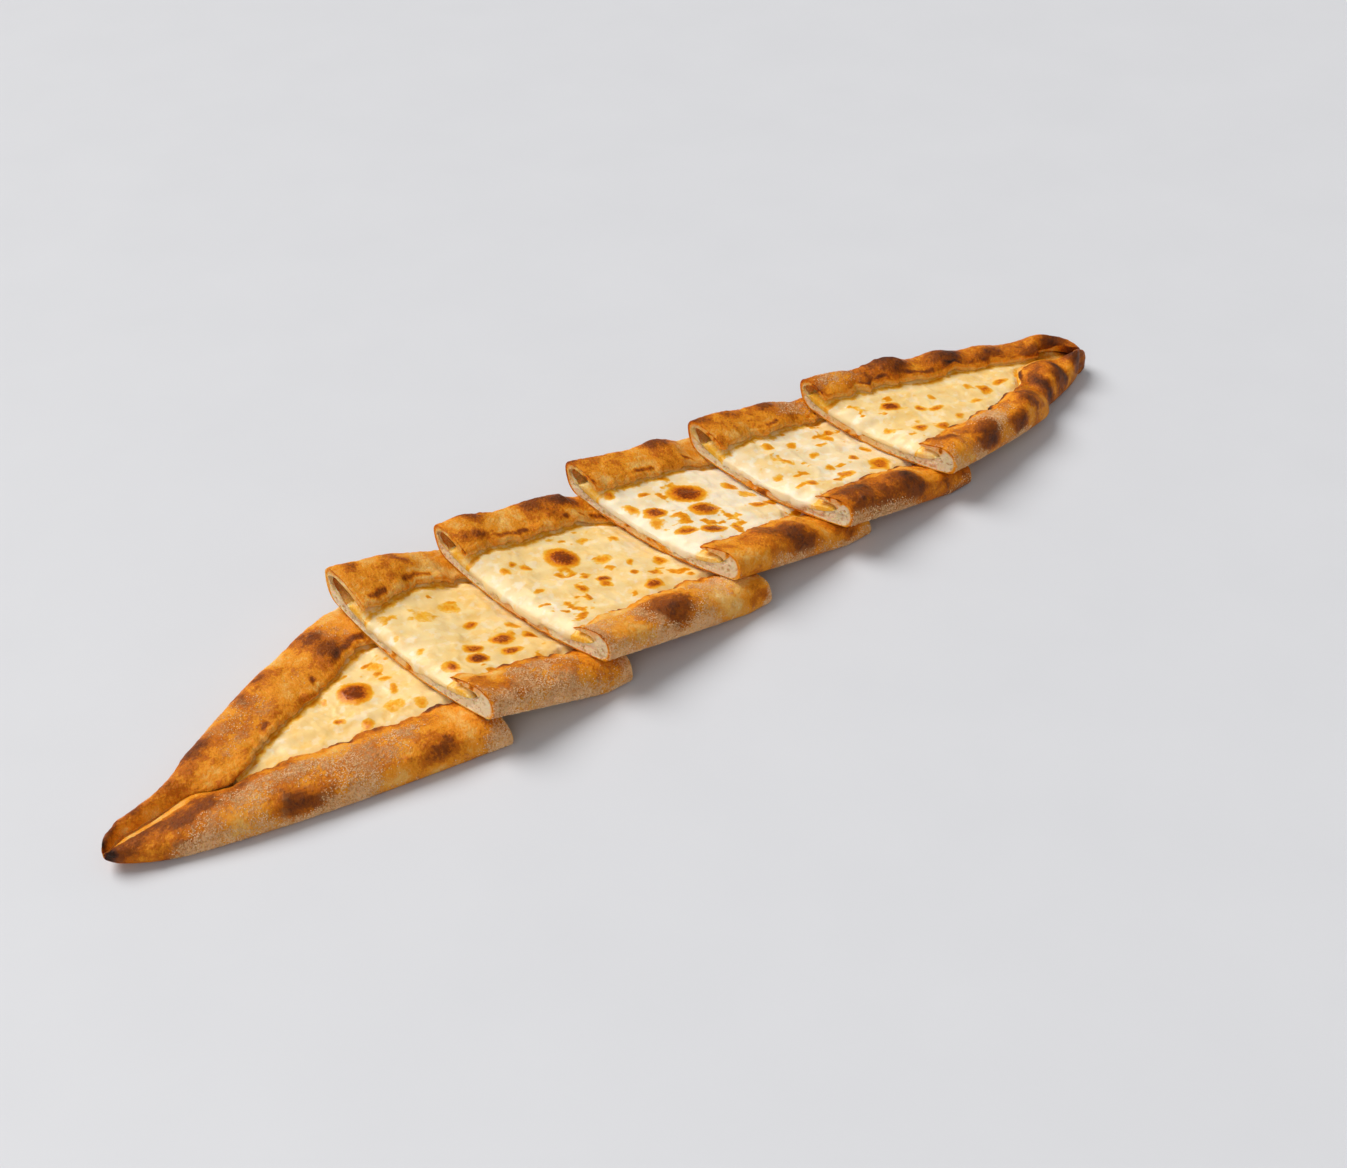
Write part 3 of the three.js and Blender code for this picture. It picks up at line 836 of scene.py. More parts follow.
@dataclass(frozen=True)
class RimBake:
    """How the bake colours the rims: tones from 0, raw, to 1, burnt, and a painted shade at their foot.

    Places up a rim are shares of its height, places across it are shares of its fold's width from the outside
    in, and lengths are mm. Of two values for the sides, the name says which is near and which is far.
    """

    broad: Pattern = Pattern(7, 26)
    mottle: Pattern = Pattern(107, 9)
    under: Pattern = Pattern(7, 14)
    pattern_height: float = 10
    broad_tone: float = 0.15
    mottle_tone: float = 0.11
    crest: Range = (0.3, 0.9)
    crest_gain: Range = (0.96, 1.04)
    # Painted shade: the rims are darker towards their foot.
    foot: Range = (0.05, 0.5)
    foot_tone: float = 0.1
    lip_height: Range = (0.6, 0.75)
    lip_parted: Range = (0, 3)
    burnt_seed: int = 60
    burnt_octaves: int = 2
    burnt_size: float = 8
    burnt_step: Range = (0.0, 0.6)
    near_band: float = 0.82
    near_band_half: float = 0.09
    near_band_tone: float = 0.1
    near_lip: Range = (0.86, 0.97)
    near_lip_tone: float = 0.08
    near_burnt_tone: float = 0.5
    far_band: float = 0.86
    far_band_half: float = 0.06
    far_burnt_tone: float = 0.4
    torn: Range = (0.9, 0.97)
    torn_shift: float = 0.04
    torn_step: Range = (-0.4, 0.4)
    torn_tone: float = 0.34
    far_edge: Range = (0.97, 1.0)
    far_edge_tone: float = 0.28
    pinched_near_tone: float = 0.06
    pinched_far_tone: float = 0.12
    pinched_far_fall: float = 0.3
    pinched_far: Range = (0.3, 0.9)
    burnt_from: float = 0.62
    burnt_share: float = 0.55
    dust_top: Range = (0.4, 0.98)
    dust_gain: Range = (0.45, 1.3)
    dust_step: Range = (-0.5, 0.5)
    dust_foot: Range = (0.03, 0.12)
    dust_lip: Range = (0.7, 0.95)
    dust_shift: float = 6
    mark_along: Pattern = Pattern(21, 8)
    mark_across: Pattern = Pattern(41, 8)
    mark_shift: float = 2.2
    mark_height: Range = (0.2, 0.65)
    mark_share: float = 0.6
    mark_clears: Range = (0, 0.3)
    dome: float = 1.1
    dome_spread: float = 1.1
    dome_most: float = 1.2
    dome_height: Range = (0.45, 0.9)
    underside: float = 0.04
    underside_tone: float = 0.34
    underside_patches: float = 0.2
    underside_flour: float = 0.3
    tip_flour_near: Range = (12, 30)
    tip_flour_far: Range = (42, 62)
    char_shift: float = 2.5
    chars: tuple[Triple, ...] = ((0.4, 0, 4.5), (0.1, 3, 16))
    hollow_deep: Range = (0.55, 0.9)
    hollow_near: Range = (0.14, 0.1)
    hollow_far: float = 0.22
    hollow_patches: float = 0.05
    pocket_tones: tuple[Triple, ...] = ((0.08, 576, 584), (0.45, 602, 608))


@dataclass(frozen=True)
class CutBake:
    """How a cut face of the dough looks, where its wall is thin and where it is thick. Lengths are mm."""

    thick: Range = (4.5, 8)
    rind: Range = (0.8, 2.3)
    thin_rind: float = 0.4
    rind_tone: float = 0.5
    crumb_tone: Range = (0.26, 0.13)
    thin_crumb: float = 0.58
    folded: Range = (0.12, 0.4)
    folded_loss: float = 0.55
    specks: Pattern = Pattern(301, 3, 2)
    speck_step: Range = (0.25, 0.7)
    speck_tone: float = 0.3
    pit: float = 0.7
    pit_room: Range = (3.5, 7)
    pit_inset: Range = (0.1, 0.3)
    bubbles: Pattern = Pattern(201, 4.4, 2)
    bubble_step: Range = (0.15, 0.8)


@dataclass
class Dough:
    """Makes the dough of one slice: an outer and an inner sheet, joined at the lips and at the cuts.

    Attributes:
        cut: The slice.
        bake: How its rims are coloured.
        face: How its cut faces look.
        skin_steps: How finely each stretch of a rim's skin is divided, from the underside to the lip.
        inside_steps: The same for the inside of the fold, from the lip to the floor.
        base_steps: The same for the base between the rims.
        wall: Shares of the thickness at a cut, where its face has points.
        lip_lift: How unevenly the lips stand up.
        lip_wave: Over what length they do, in a pattern of lip_seed.
        lip_inward: Between which shares of the fold's width that sets in.
        lip_height: The same for shares of the rim's height.
        lip_parted: The same for how far the lips stand apart.
        skin_relief: Between which shares of the rim's height the outside's relief sets in.
        inner_relief: The same for the inside.
        inner_relief_share: How strong the inside's relief is.
        inner_crumb: How much the inside looks like crumb.
        tip_reach: Length over which a tip is rounded off.
        tip_share: Its size at the very end.
        tip_middle: Height that it closes on, as a share of the rim's.
    """

    cut: Slice
    bake: RimBake = RimBake()
    face: CutBake = CutBake()
    skin_steps: tuple[int, ...] = (4, 3, 5, 7, 7, 9, 10, 10, 7, 5)
    inside_steps: tuple[int, ...] = (6, 9, 9, 6, 6, 12, 19)
    base_steps: int = 40
    wall: tuple[float, ...] = (0.07, 0.14, 0.22, 0.33, 0.44, 0.56, 0.67, 0.78, 0.87, 0.94)
    lip_lift: float = 1.1
    lip_wave: float = 8
    lip_seed: int = 80
    lip_inward: Range = (0.74, 1)
    lip_height: Range = (0.55, 0.7)
    lip_parted: Range = (0, 4)
    skin_relief: Range = (0.02, 0.3)
    inner_relief: Range = (0.4, 0.5)
    inner_relief_share: float = 0.5
    inner_crumb: float = 0.25
    tip_reach: float = 5
    tip_share: float = 0.5
    tip_middle: float = 0.5

    def ring(self, s: Array) -> tuple[Array, Array]:
        """The section's closed line at each station.

        Args:
            s: Places along the boat.

        Returns:
            Y and height of the points, by station and point: first from the near lip along the outside to
            the far lip, then back along the inside.
        """
        near, far = (self.cut.boat.section(s, rim) for rim in RIMS)
        near_skin, near_inside = (
            np.stack([line[:, 0] - near.half, line[:, 1]], -1) for line in (near.skin, near.inside)
        )
        far_skin, far_inside = (
            np.stack([far.half - line[:, 0], line[:, 1]], -1) for line in (far.skin, far.inside)
        )
        under = (near_skin[0] + far_skin[0]) / 2
        top = (near_inside[-1] + far_inside[-1]) / 2
        control = [*near_skin[::-1], under, *far_skin, *far_inside, top, *near_inside[::-1]]
        half_base = self.base_steps // 2
        outside = [*self.skin_steps[::-1], half_base, half_base, *self.skin_steps]
        back = [*self.inside_steps, half_base, half_base, *self.inside_steps[::-1]]
        line = closed_spline(np.array(control), outside + back)
        return line[..., 0].T, np.maximum(line[..., 1].T, 0)

    def inward(self, rim: Rim, s: Array, y: Array) -> tuple[Array, Array]:
        """Places across a rim.

        Args:
            rim: The rim.
            s: Places along the boat, by station and point.
            y: Distance to the far side.

        Returns:
            The share of the fold's width from the outside in, and in one column how far the lips stand apart.
        """
        half, fold, parted = self.cut.boat.fold(s[:, 0], rim)
        return (half[:, None] - np.abs(y)) / fold[:, None], parted[:, None]

    def rim_tone(self, rim: Rim, s: Array, y: Array, share: Array) -> tuple[Array, Array, Array]:
        """How the bake coloured one rim's outside, with a painted shade at its foot.

        Args:
            rim: The rim.
            s: Places along the boat, by station and point.
            y: Distance to the far side.
            share: Height as a share of the rim's.

        Returns:
            The browning with the painted foot shade, the flour and the rise of the puffed marks.
        """
        bake, index = self.bake, self.cut.index
        inward, parted = self.inward(rim, s, y)
        broad = bake.broad.on(index, s, y, bake.pattern_height * share)
        mottle = bake.mottle.on(index, s, y, bake.pattern_height * share)
        tone = rim.browning[index] * lerp(*bake.crest_gain, smooth(share, *bake.crest))
        tone = tone + bake.broad_tone * broad + bake.mottle_tone * mottle
        # Painted shade: darker towards each rim's foot, where its rounded side turns from the light.
        tone = tone + bake.foot_tone * (1 - smooth(share, *bake.foot))
        at_lip = smooth(share, *bake.lip_height) * smooth(parted, *bake.lip_parted)
        stretches = Noise(bake.burnt_seed + index + rim.side.value, bake.burnt_octaves)
        burnt = smooth(stretches.along(s, bake.burnt_size), *bake.burnt_step)
        pinched = 1 - smooth(s, *self.cut.boat.groove_ends)
        if rim.side is Side.NEAR:
            band = bump_of((inward - bake.near_band) / bake.near_band_half)
            tone = tone - bake.near_band_tone * band * at_lip
            lip_tone = bake.near_lip_tone + bake.near_burnt_tone * burnt
            tone = tone + smooth(inward, *bake.near_lip) * at_lip * lip_tone
            tone = tone + pinched * bake.pinched_near_tone
        else:
            band = bump_of((inward - bake.far_band) / bake.far_band_half)
            tone = tone + bake.far_burnt_tone * burnt * band * at_lip
            torn = smooth(inward + bake.torn_shift * mottle, *bake.torn)
            torn = torn * smooth(mottle + broad, *bake.torn_step)
            tone = lerp(tone, bake.torn_tone, torn * at_lip)
            tone = lerp(tone, bake.far_edge_tone, smooth(inward, *bake.far_edge) * at_lip)
            fall = bake.pinched_far_fall * smooth(inward, *bake.pinched_far)
            tone = tone + pinched * (bake.pinched_far_tone - fall)
        dust = rim.flour[index] * lerp(1.0, rim.dusty_top[index], smooth(share, *bake.dust_top))
        dust = dust * lerp(*bake.dust_gain, smooth(broad, *bake.dust_step))
        for patch in rim.dusted:
            away = patch.distance(s, y + bake.dust_shift * mottle)
            dust = np.maximum(dust, patch.depth * bump_of(away))
        dust = dust * smooth(share, *bake.dust_foot) * (1 - smooth(inward, *bake.dust_lip))
        dust = dust * (1 - smooth(s, *rim.dusty_to))
        return self.marked(rim, (s, y, share), tone, dust)

    def marked(
        self, rim: Rim, place: tuple[Array, Array, Array], tone: Array, dust: Array
    ) -> tuple[Array, Array, Array]:
        """Adds a rim's dark marks, which are puffed and free of flour.

        Args:
            rim: The rim.
            place: Places along the boat, to its far side, and up as a share of the rim's height.
            tone: The browning and the painted foot shade, without the marks.
            dust: The flour without them.

        Returns:
            The browning with the painted foot shade, the flour and the rise of the puffed marks.
        """
        bake, index = self.bake, self.cut.index
        s, y, share = place
        shift_s = bake.mark_shift * bake.mark_along.on(index, s, y, 0 * y)
        shift_y = bake.mark_shift * bake.mark_across.on(index, s, y, 0 * y)
        on_rim = smooth(share, *bake.mark_height)
        puff = np.zeros_like(y)
        for mark in rim.marks:
            near = bump_of(mark.distance(s + shift_s, y + shift_y)) * on_rim
            tone = tone + bake.mark_share * mark.depth * near
            dust = dust * (1 - near * smooth(mark.depth, *bake.mark_clears))
            puff = puff + max(mark.depth, 0) * bump_of(mark.distance(s, y) / bake.dome_spread)
        tone = np.minimum(tone, bake.burnt_from + bake.burnt_share * (tone - bake.burnt_from))
        return tone, dust, bake.dome * np.minimum(puff, bake.dome_most) * smooth(share, *bake.dome_height)

    def browning(self, s: Array, y: Array, share: Array, outer: Array) -> tuple[Array, Array, Array]:
        """How the bake coloured the dough, with a painted shade at the rims' foot.

        Args:
            s: Places along the boat, by station and point.
            y: Distance to the far side.
            share: Height as a share of the rim's.
            outer: Whether a point is on the outside.

        Returns:
            The browning with the painted foot shade, the flour and the rise of the puffed marks.
        """
        bake = self.bake
        tones = [np.zeros_like(y) for _ in range(3)]
        for rim in RIMS:
            on = outer & (y * rim.side.value > 0)
            made = self.rim_tone(rim, s, y, share)
            tones = [np.where(on, new, old) for new, old in zip(made, tones)]
        brown, flour, rise = tones
        patches = bake.under.on(self.cut.index, s, y, bake.pattern_height * share)
        under = outer & (share < bake.underside)
        brown = np.where(under, bake.underside_tone + bake.underside_patches * patches, brown)
        flour = np.where(under, bake.underside_flour, flour)
        if self.cut.first:
            flour = flour * np.where(y > 0, smooth(s, *bake.tip_flour_far), smooth(s, *bake.tip_flour_near))
            for tone, full, gone in bake.chars:
                brown = brown + tone * (1 - smooth(s + bake.char_shift * patches, full, gone))
        inward, _ = self.inward(NEAR_RIM, s, y)
        deep = np.where(y < 0, 1 - smooth(inward, *bake.hollow_deep), 1)
        hollow = np.where(y > 0, bake.hollow_far, lerp(*bake.hollow_near, deep))
        hollow = hollow + bake.hollow_patches * patches
        if self.cut.last:
            for tone, starts, full in bake.pocket_tones:
                hollow = hollow + tone * smooth(s, starts, full)
        return np.where(outer, brown, hollow), flour, rise

    def lips_up(self, s: Array, y: Array, share: Array) -> Array:
        """How far the lips stand up from their even line."""
        lift = np.zeros_like(y)
        for rim in RIMS:
            inward, parted = self.inward(rim, s, y)
            at_lip = smooth(inward, *self.lip_inward) * smooth(share, *self.lip_height)
            at_lip = at_lip * smooth(parted, *self.lip_parted)
            wave = Noise(self.lip_seed + rim.side.value).along(s, self.lip_wave)
            lift = np.where(y * rim.side.value > 0, self.lip_lift * wave * at_lip, lift)
        return lift

    def from_tip(self, s: Array) -> Array:
        """Distance from the boat's nearer tip, or far from it in a slice that has no tip."""
        if self.cut.first:
            return s
        return self.cut.end - s if self.cut.last else np.full_like(s, self.cut.length)

    def surface(self) -> Surface:
        """The whole closed mesh, with its fields."""
        cut = self.cut
        s = cut.stations(cut.start, cut.end)
        y, z = self.ring(s[:, 0])
        along = np.broadcast_to(s, y.shape)
        half_ring = sum(self.skin_steps) * 2 + 2 * (self.base_steps // 2)
        outer = np.broadcast_to(np.arange(y.shape[1]) <= half_ring, y.shape)
        tall = np.where(y < 0, cut.boat.rim_height(s, NEAR_RIM), cut.boat.rim_height(s, FAR_RIM))
        share = z / tall
        brown, flour, rise = self.browning(along, y, share, outer)
        z = z + rise + self.lips_up(along, y, share)
        short = 1 - np.clip(self.from_tip(s) / self.tip_reach, 0, 1)
        blunt = lerp(self.tip_share, 1, np.sqrt(1 - short**2))
        middle = (y.max(axis=1, keepdims=True) + y.min(axis=1, keepdims=True)) / 2
        lowest = (1 - blunt) * self.tip_middle * tall
        points = cut.laid_points(s, middle + (y - middle) * blunt, lowest + z * blunt)
        inner_relief = self.inner_relief_share * smooth(share, *self.inner_relief)
        fields = {
            Field.BROWN: [brown.ravel()],
            Field.FLOUR: [flour.ravel()],
            Field.CRUMB: [np.where(outer, 0.0, self.inner_crumb).ravel()],
            Field.RELIEF: [np.where(outer, smooth(share, *self.skin_relief), inner_relief).ravel()],
        }
        grid = np.arange(y.size).reshape(y.shape)
        turned = np.roll(grid, -1, axis=1)
        quads = [np.stack([grid[:-1], turned[:-1], turned[1:], grid[1:]], -1).reshape(-1, 4)]
        triangles, parts = [], [points.reshape(-1, 3)]
        for station, into in ((0, 1), (len(s) - 1, -1)):
            made, strip, fans = self.cut_face(points[station], grid[station], half_ring, sum(map(len, parts)))
            blank = np.zeros(made[..., 0].size)
            crumb, tone = blank, blank + brown[station].mean()
            is_cut = not (cut.first if station == 0 else cut.last)
            if is_cut:
                room = np.linalg.norm(made[-1] - made[0], axis=-1) / (self.wall[-1] - self.wall[0])
                made[..., 0] += into * self.pits(made) * smooth(room, *self.face.pit_room)
                columns = slice(len(room))
                folded = smooth(share[station, columns], *self.face.folded) * (y[station, columns] > 0)
                crumb, tone = self.face_tone(made, room, folded)
            parts.append(made.reshape(-1, 3))
            quads.append(strip[:, ::-into])
            triangles.append(fans[:, ::-into])
            fields[Field.CRUMB].append(crumb.ravel())
            fields[Field.BROWN].append(tone.ravel())
            fields[Field.FLOUR].append(blank)
            fields[Field.RELIEF].append(blank)
        joined = {key: np.concatenate(values) for key, values in fields.items()}
        return Surface(np.concatenate(parts), np.concatenate(quads), joined, np.concatenate(triangles))

    def pits(self, made: Array) -> Array:
        """Depth of the crumb's bubbles at a cut face's points."""
        bubbles = smooth(self.face.bubbles.at(self.cut.index, made), *self.face.bubble_step)
        inner = np.minimum(np.array(self.wall), 1 - np.array(self.wall))
        return self.face.pit * bubbles * smooth(inner, *self.face.pit_inset)[:, None]

    def face_tone(self, made: Array, room: Array, folded: Array) -> tuple[Array, Array]:
        """How a cut face is coloured.

        Args:
            made: Its points, by row and column.
            room: The wall's thickness, by column.
            folded: How far each column is in the far fold.

        Returns:
            The open crumb and the browning, by row and column.
        """
        face = self.face
        thick = smooth(room, *face.thick)
        depth = np.array(self.wall)[:, None] * room
        inner = smooth(depth / lerp(face.thin_rind, 1.0, thick), *face.rind)
        specks = smooth(face.specks.at(self.cut.index, made), *face.speck_step) * (1 - thick)
        crumb = inner * lerp(face.thin_crumb, 1.0, thick) * (1 - specks) * (1 - face.folded_loss * folded)
        tone = lerp(face.rind_tone, lerp(*face.crumb_tone, thick), inner) + face.speck_tone * specks
        return crumb, tone

    def cut_face(self, edge: Array, ids: Array, half_ring: int, first: int) -> tuple[Array, Array, Array]:
        """The face at a cut: a strip between the outside and the inside of the section.

        Args:
            edge: Points of the section's line.
            ids: Their numbers in the mesh.
            half_ring: Where the line turns at the far lip.
            first: Number of the next new point.

        Returns:
            The new points by row, the faces, and the triangles that close the strip at the two lips.
        """
        outside, outside_ids = edge[1:half_ring], ids[1:half_ring]
        inside, inside_ids = edge[half_ring + 1:][::-1], ids[half_ring + 1:][::-1]
        made = np.array([lerp(outside, inside, t) for t in self.wall])
        numbers = first + np.arange(made[..., 0].size).reshape(made.shape[:2])
        lines = np.concatenate([outside_ids[None], numbers, inside_ids[None]])
        quads = np.stack([lines[:-1, :-1], lines[1:, :-1], lines[1:, 1:], lines[:-1, 1:]], -1).reshape(-1, 4)
        near_lip = np.stack([np.full(len(lines) - 1, ids[0]), lines[1:, 0], lines[:-1, 0]], -1)
        far_lip = np.stack([np.full(len(lines) - 1, ids[half_ring]), lines[:-1, -1], lines[1:, -1]], -1)
        return made, quads, np.concatenate([near_lip, far_lip])


@dataclass(frozen=True)
class CheeseBake:
    """How the bake colours the cheese: tones from 0, plain, to 1, burnt, and painted shade along the lips.
    Lengths are mm.

    Attributes:
        spot_layers: Layers of a toasted spot: least tone, what its depth adds, and where in radii it starts
            to fade and ends.
    """

    shift_along: Pattern = Pattern(31, 5)
    shift_across: Pattern = Pattern(51, 5)
    torn_most: float = 1.3
    torn_size: float = 3.6
    spread: float = 1.1
    spot_layers: tuple[tuple[float, float, float, float], ...] = (
        (0, 1, 0.3, 1.25),
        (0.12, 0.36, 0.8, 1.28),
        (0.05, 0.05, 1.0, 1.7),
    )
    puffed: float = 0.8
    dome: float = 0.8
    dome_spread: float = 0.9
    flecks: Pattern = Pattern(91, 6)
    fleck_narrow: float = 1.4
    fleck_step: Range = (0.36, 0.95)
    fleck_patches: Pattern = Pattern(131, 22)
    fleck_where: Range = (-0.5, 0.3)
    fleck_toast: float = 0.5
    lip_flecks: Pattern = Pattern(111, 9)
    lip_fleck_long: float = 0.2
    lip_fleck_step: Range = (0.1, 0.7)
    lip_fleck_reach: Range = (0.5, 3)
    lip_toast: float = 0.5
    edge_plain: Range = (0.0, 0.6)
    lip_plain: Range = (-0.2, 0.8)
    # Painted shade: an amber darkening of the cheese along the lips and under the folds, where the rims shade
    # it.
    folded: Pattern = Pattern(291, 4)
    folded_toast: float = 0.33
    folded_under: float = 0.65
    folded_patches: float = 0.35
    folded_near: float = 1.8
    folded_far: float = 5.0
    cut_patches: Pattern = Pattern(211, 12)
    cut_shift: float = 6
    cut_pale: Range = (0, 12)
    lip_patches: Pattern = Pattern(231, 12)
    lip_shift: float = 3
    lip_pale: Range = (0, 9)
    lip_pale_share: float = 0.6
    pale_share: float = 0.45
    clouds: Pattern = Pattern(271, 20)
    cloud_step: Range = (-0.5, 0.5)
    cloud_gain: Range = (0.5, 1.5)


@dataclass
class Cheese:
    """Makes the cheese of one slice: a top that runs in under both folds, rounded at the cuts."""

    cut: Slice
    bake: CheeseBake = CheeseBake()
    under_steps: int = 8
    open_steps: int = 96
    roof_points: int = 4
    wall_shares: tuple[float, ...] = (0.1, 0.22, 0.36, 0.52, 0.68, 0.84)
    off_lip: Range = (0, 3)
    open_from: Range = (0.3, 4)
    pull: Pattern = Pattern(31, 9)
    pull_by: float = 2.5
    strings: Pattern = Pattern(151, 11)
    string: float = 0.4
    string_long: float = 0.5
    string_thin: float = 1.2
    string_middle: float = 0.4
    lumps: Pattern = Pattern(171, 13)
    lump: float = 0.35
    no_cut: float = 99
    edge: Pattern = Pattern(251, 13)
    edge_step: Range = (-0.6, 0.6)
    edge_power: float = 2.4
    edge_relief: float = 0.35
    drips: Pattern = Pattern(191, 9)
    drip_step: Range = (-0.1, 0.9)
    drip_reach: Range = (0, 3)
    bulges: Pattern = Pattern(261, 8)
    bulge_step: Range = (-0.6, 0.6)
    least_bulge: float = 0.3

    def line(self, s: float, near: Section, far: Section, i: int) -> tuple[Array, Array, Array, Array]:
        """The section of the cheese at one station.

        Args:
            s: Place along the boat.
            near: The near rim's sections.
            far: The far rim's sections.
            i: Number of the station.

        Returns:
            Y, lowest and highest height of the points across, and their distance in from the nearer lip.
        """
        filling, boat = self.cut.filling, self.cut.boat
        ends, lips, lower, upper = [], [], [], []
        for sec, rim in ((near, NEAR_RIM), (far, FAR_RIM)):
            fold, deep, inside = sec.fold[i], sec.deep[i], sec.inside[:, :, i]
            begin = max(lerp(deep, fold, filling.deepest), fold - rim.reach)
            u = np.linspace(begin, fold, self.under_steps + 1)
            roof, floor = inside[:self.roof_points], inside[self.roof_points - 1:]
            roof, floor = roof[np.argsort(roof[:, 0])], floor[np.argsort(floor[:, 0])]
            low = np.interp(u, floor[:, 0], floor[:, 1]) - filling.sunk
            heap = rim.level + filling.heaped * np.sin(np.linspace(math.pi, 0, len(u)))
            under = np.minimum(heap, np.interp(u, roof[:, 0], roof[:, 1]) + filling.sunk)
            tapered = lerp(low, under, smooth(u, begin, lerp(begin, fold, filling.tapers)))
            high = np.maximum(tapered, low + filling.thinnest)
            ends.append(rim.side.value * (sec.half[i] - u))
            lips.append(rim.side.value * (sec.half[i] - fold))
            lower.append(low)
            upper.append(high)
        y = np.linspace(lips[0], lips[1], self.open_steps + 1)[1:-1]
        inset = np.minimum(y - lips[0], lips[1] - y)
        t = (y - lips[0]) / (lips[1] - lips[0])
        shelf = lerp(upper[0][-1], upper[1][-1], t)
        top = lerp(shelf, filling.top(boat, s, y), smooth(inset, *filling.rises))
        across = np.concatenate([ends[0], y, ends[1][::-1]])
        low = np.concatenate([lower[0], np.full(len(y), boat.base - filling.sunk), lower[1][::-1]])
        high = np.concatenate([upper[0], top, upper[1][::-1]])
        inset = np.concatenate([np.zeros(len(ends[0])), inset, np.zeros(len(ends[1]))])
        return across, low, high, inset

    def noise(self, pattern: Pattern, s: Array, y: Array) -> Array:
        """A pattern of this slice's own at a place on the cheese."""
        return pattern.on(self.cut.index, s, y, 0 * y)

    def toasting(self, s: Array, y: Array, inset: Array, edge: Array) -> tuple[Array, Array]:
        """How the bake coloured the cheese, with painted shade along the lips.

        Args:
            s: Places along the boat, by station and point.
            y: Distance to the far side.
            inset: Distance in from the nearer lip.
            edge: How far the top has risen from its rounded edge, from 0 to 1.

        Returns:
            The toasting with the painted shade along the lips, and the rise of the puffed spots.
        """
        bake = self.bake
        shift_s, shift_y = self.noise(bake.shift_along, s, y), self.noise(bake.shift_across, s, y)
        toast, rise = np.zeros_like(y), np.zeros_like(y)
        for spot in self.cut.filling.spots[self.cut.index]:
            torn = min(bake.torn_most, bake.torn_size / spot.size)
            away = spot.distance(s + torn * shift_s, y + torn * shift_y) / bake.spread
            for least, gain, full, gone in bake.spot_layers:
                toast = np.maximum(toast, (least + gain * spot.depth) * (1 - smooth(away, full, gone)))
            if spot.depth > bake.puffed:
                rise = rise + bake.dome * bump_of(spot.distance(s, y) / bake.dome_spread)
        flecks = smooth(self.noise(bake.flecks, s + shift_s, bake.fleck_narrow * y), *bake.fleck_step)
        where = smooth(self.noise(bake.fleck_patches, s, y), *bake.fleck_where)
        at_lip = smooth(self.noise(bake.lip_flecks, s, bake.lip_fleck_long * y), *bake.lip_fleck_step)
        at_lip = at_lip * (1 - smooth(inset, *bake.lip_fleck_reach)) * (y < 0)
        toast = np.maximum(np.maximum(toast, bake.fleck_toast * flecks * where), bake.lip_toast * at_lip)
        toast = toast * smooth(edge, *bake.edge_plain) * smooth(inset, *bake.lip_plain)
        # Painted shade: amber along the lips and under the folds, reaching furthest under the far lip.
        folded = bake.folded_toast * np.where(inset > 0, 1, bake.folded_under)
        folded = folded * (1 + bake.folded_patches * self.noise(bake.folded, s, y))
        reach = np.where(y > 0, bake.folded_far, bake.folded_near)
        return np.maximum(toast, folded * (1 - smooth(inset, 0, reach))), rise

    def paleness(self, s: Array, y: Array, inset: Array, from_cut: Array) -> Array:
        """How much pale curd shows.

        Args:
            s: Places along the boat, by station and point.
            y: Distance to the far side.
            inset: Distance in from the nearer lip.
            from_cut: Distance from the nearer cut.

        Returns:
            Values from 0 to 1.
        """
        bake = self.bake
        at_cut = 1 - smooth(from_cut + bake.cut_shift * self.noise(bake.cut_patches, s, y), *bake.cut_pale)
        at_lip = 1 - smooth(inset + bake.lip_shift * self.noise(bake.lip_patches, s, y), *bake.lip_pale)
        pale = np.maximum(at_cut, bake.lip_pale_share * at_lip * (y > 0))
        clouds = smooth(self.noise(bake.clouds, s, y), *bake.cloud_step)
        creamy = self.cut.filling.creamy[self.cut.index] * lerp(*bake.cloud_gain, clouds)
        return np.minimum(1, pale * bake.pale_share + creamy) * smooth(inset, *self.off_lip)

    def wrinkles(self, s: Array, y: Array) -> Array:
        """Strings and soft lumps of the melted top, in mm."""
        pulled = s + self.pull_by * self.noise(self.pull, s, y)
        strings = 1 - np.abs(self.noise(self.strings, pulled, self.string_long * y)) * self.string_thin
        stringy = self.string * (np.maximum(strings, 0) ** 2 - self.string_middle)
        return stringy + self.lump * self.noise(self.lumps, s, y)

    def surface(self) -> Surface:
        """The whole closed mesh, with its fields."""
        cut, filling, boat = self.cut, self.cut.filling, self.cut.boat
        opens = boat.parting(boat.closed_pinched[0], boat.length) if cut.first else cut.start
        closes = boat.parting(boat.length - boat.closed_round[1], 0) if cut.last else cut.end
        s = cut.stations(opens, closes)
        near, far = (boat.section(s[:, 0], rim) for rim in RIMS)
        lines = [self.line(place, near, far, i) for i, place in enumerate(s[:, 0])]
        y, low, high, inset = (np.array(part) for part in zip(*lines))
        along = np.broadcast_to(s, y.shape)
        in_from = np.full_like(y, self.no_cut) if cut.first else along - cut.start
        in_to = np.full_like(y, self.no_cut) if cut.last else cut.end - along
        rounded = lerp(*filling.rounded, smooth(self.noise(self.edge, 0 * along, y), *self.edge_step))
        edge = np.clip(np.minimum(in_from, in_to) / rounded, 0, 1)
        toast, rise = self.toasting(along, y, inset, edge)
        pale = self.paleness(along, y, inset, np.minimum(in_from, 2 * in_to))
        open_top, off_lip = smooth(inset, *self.open_from), smooth(inset, *self.off_lip)
        high = high + (rise + self.wrinkles(along, y)) * open_top
        high = lerp(low, high, lerp(1 - filling.slump, 1, 1 - (1 - edge) ** self.edge_power))
        out = np.zeros_like(y)
        if not cut.first:
            hang = smooth(self.noise(self.drips, along, y), *self.drip_step) * off_lip
            low[0] -= filling.hang * hang[0]
            out = filling.overhang * hang * (1 - smooth(in_from, *self.drip_reach))
        sheets = []
        for height in (high, low):
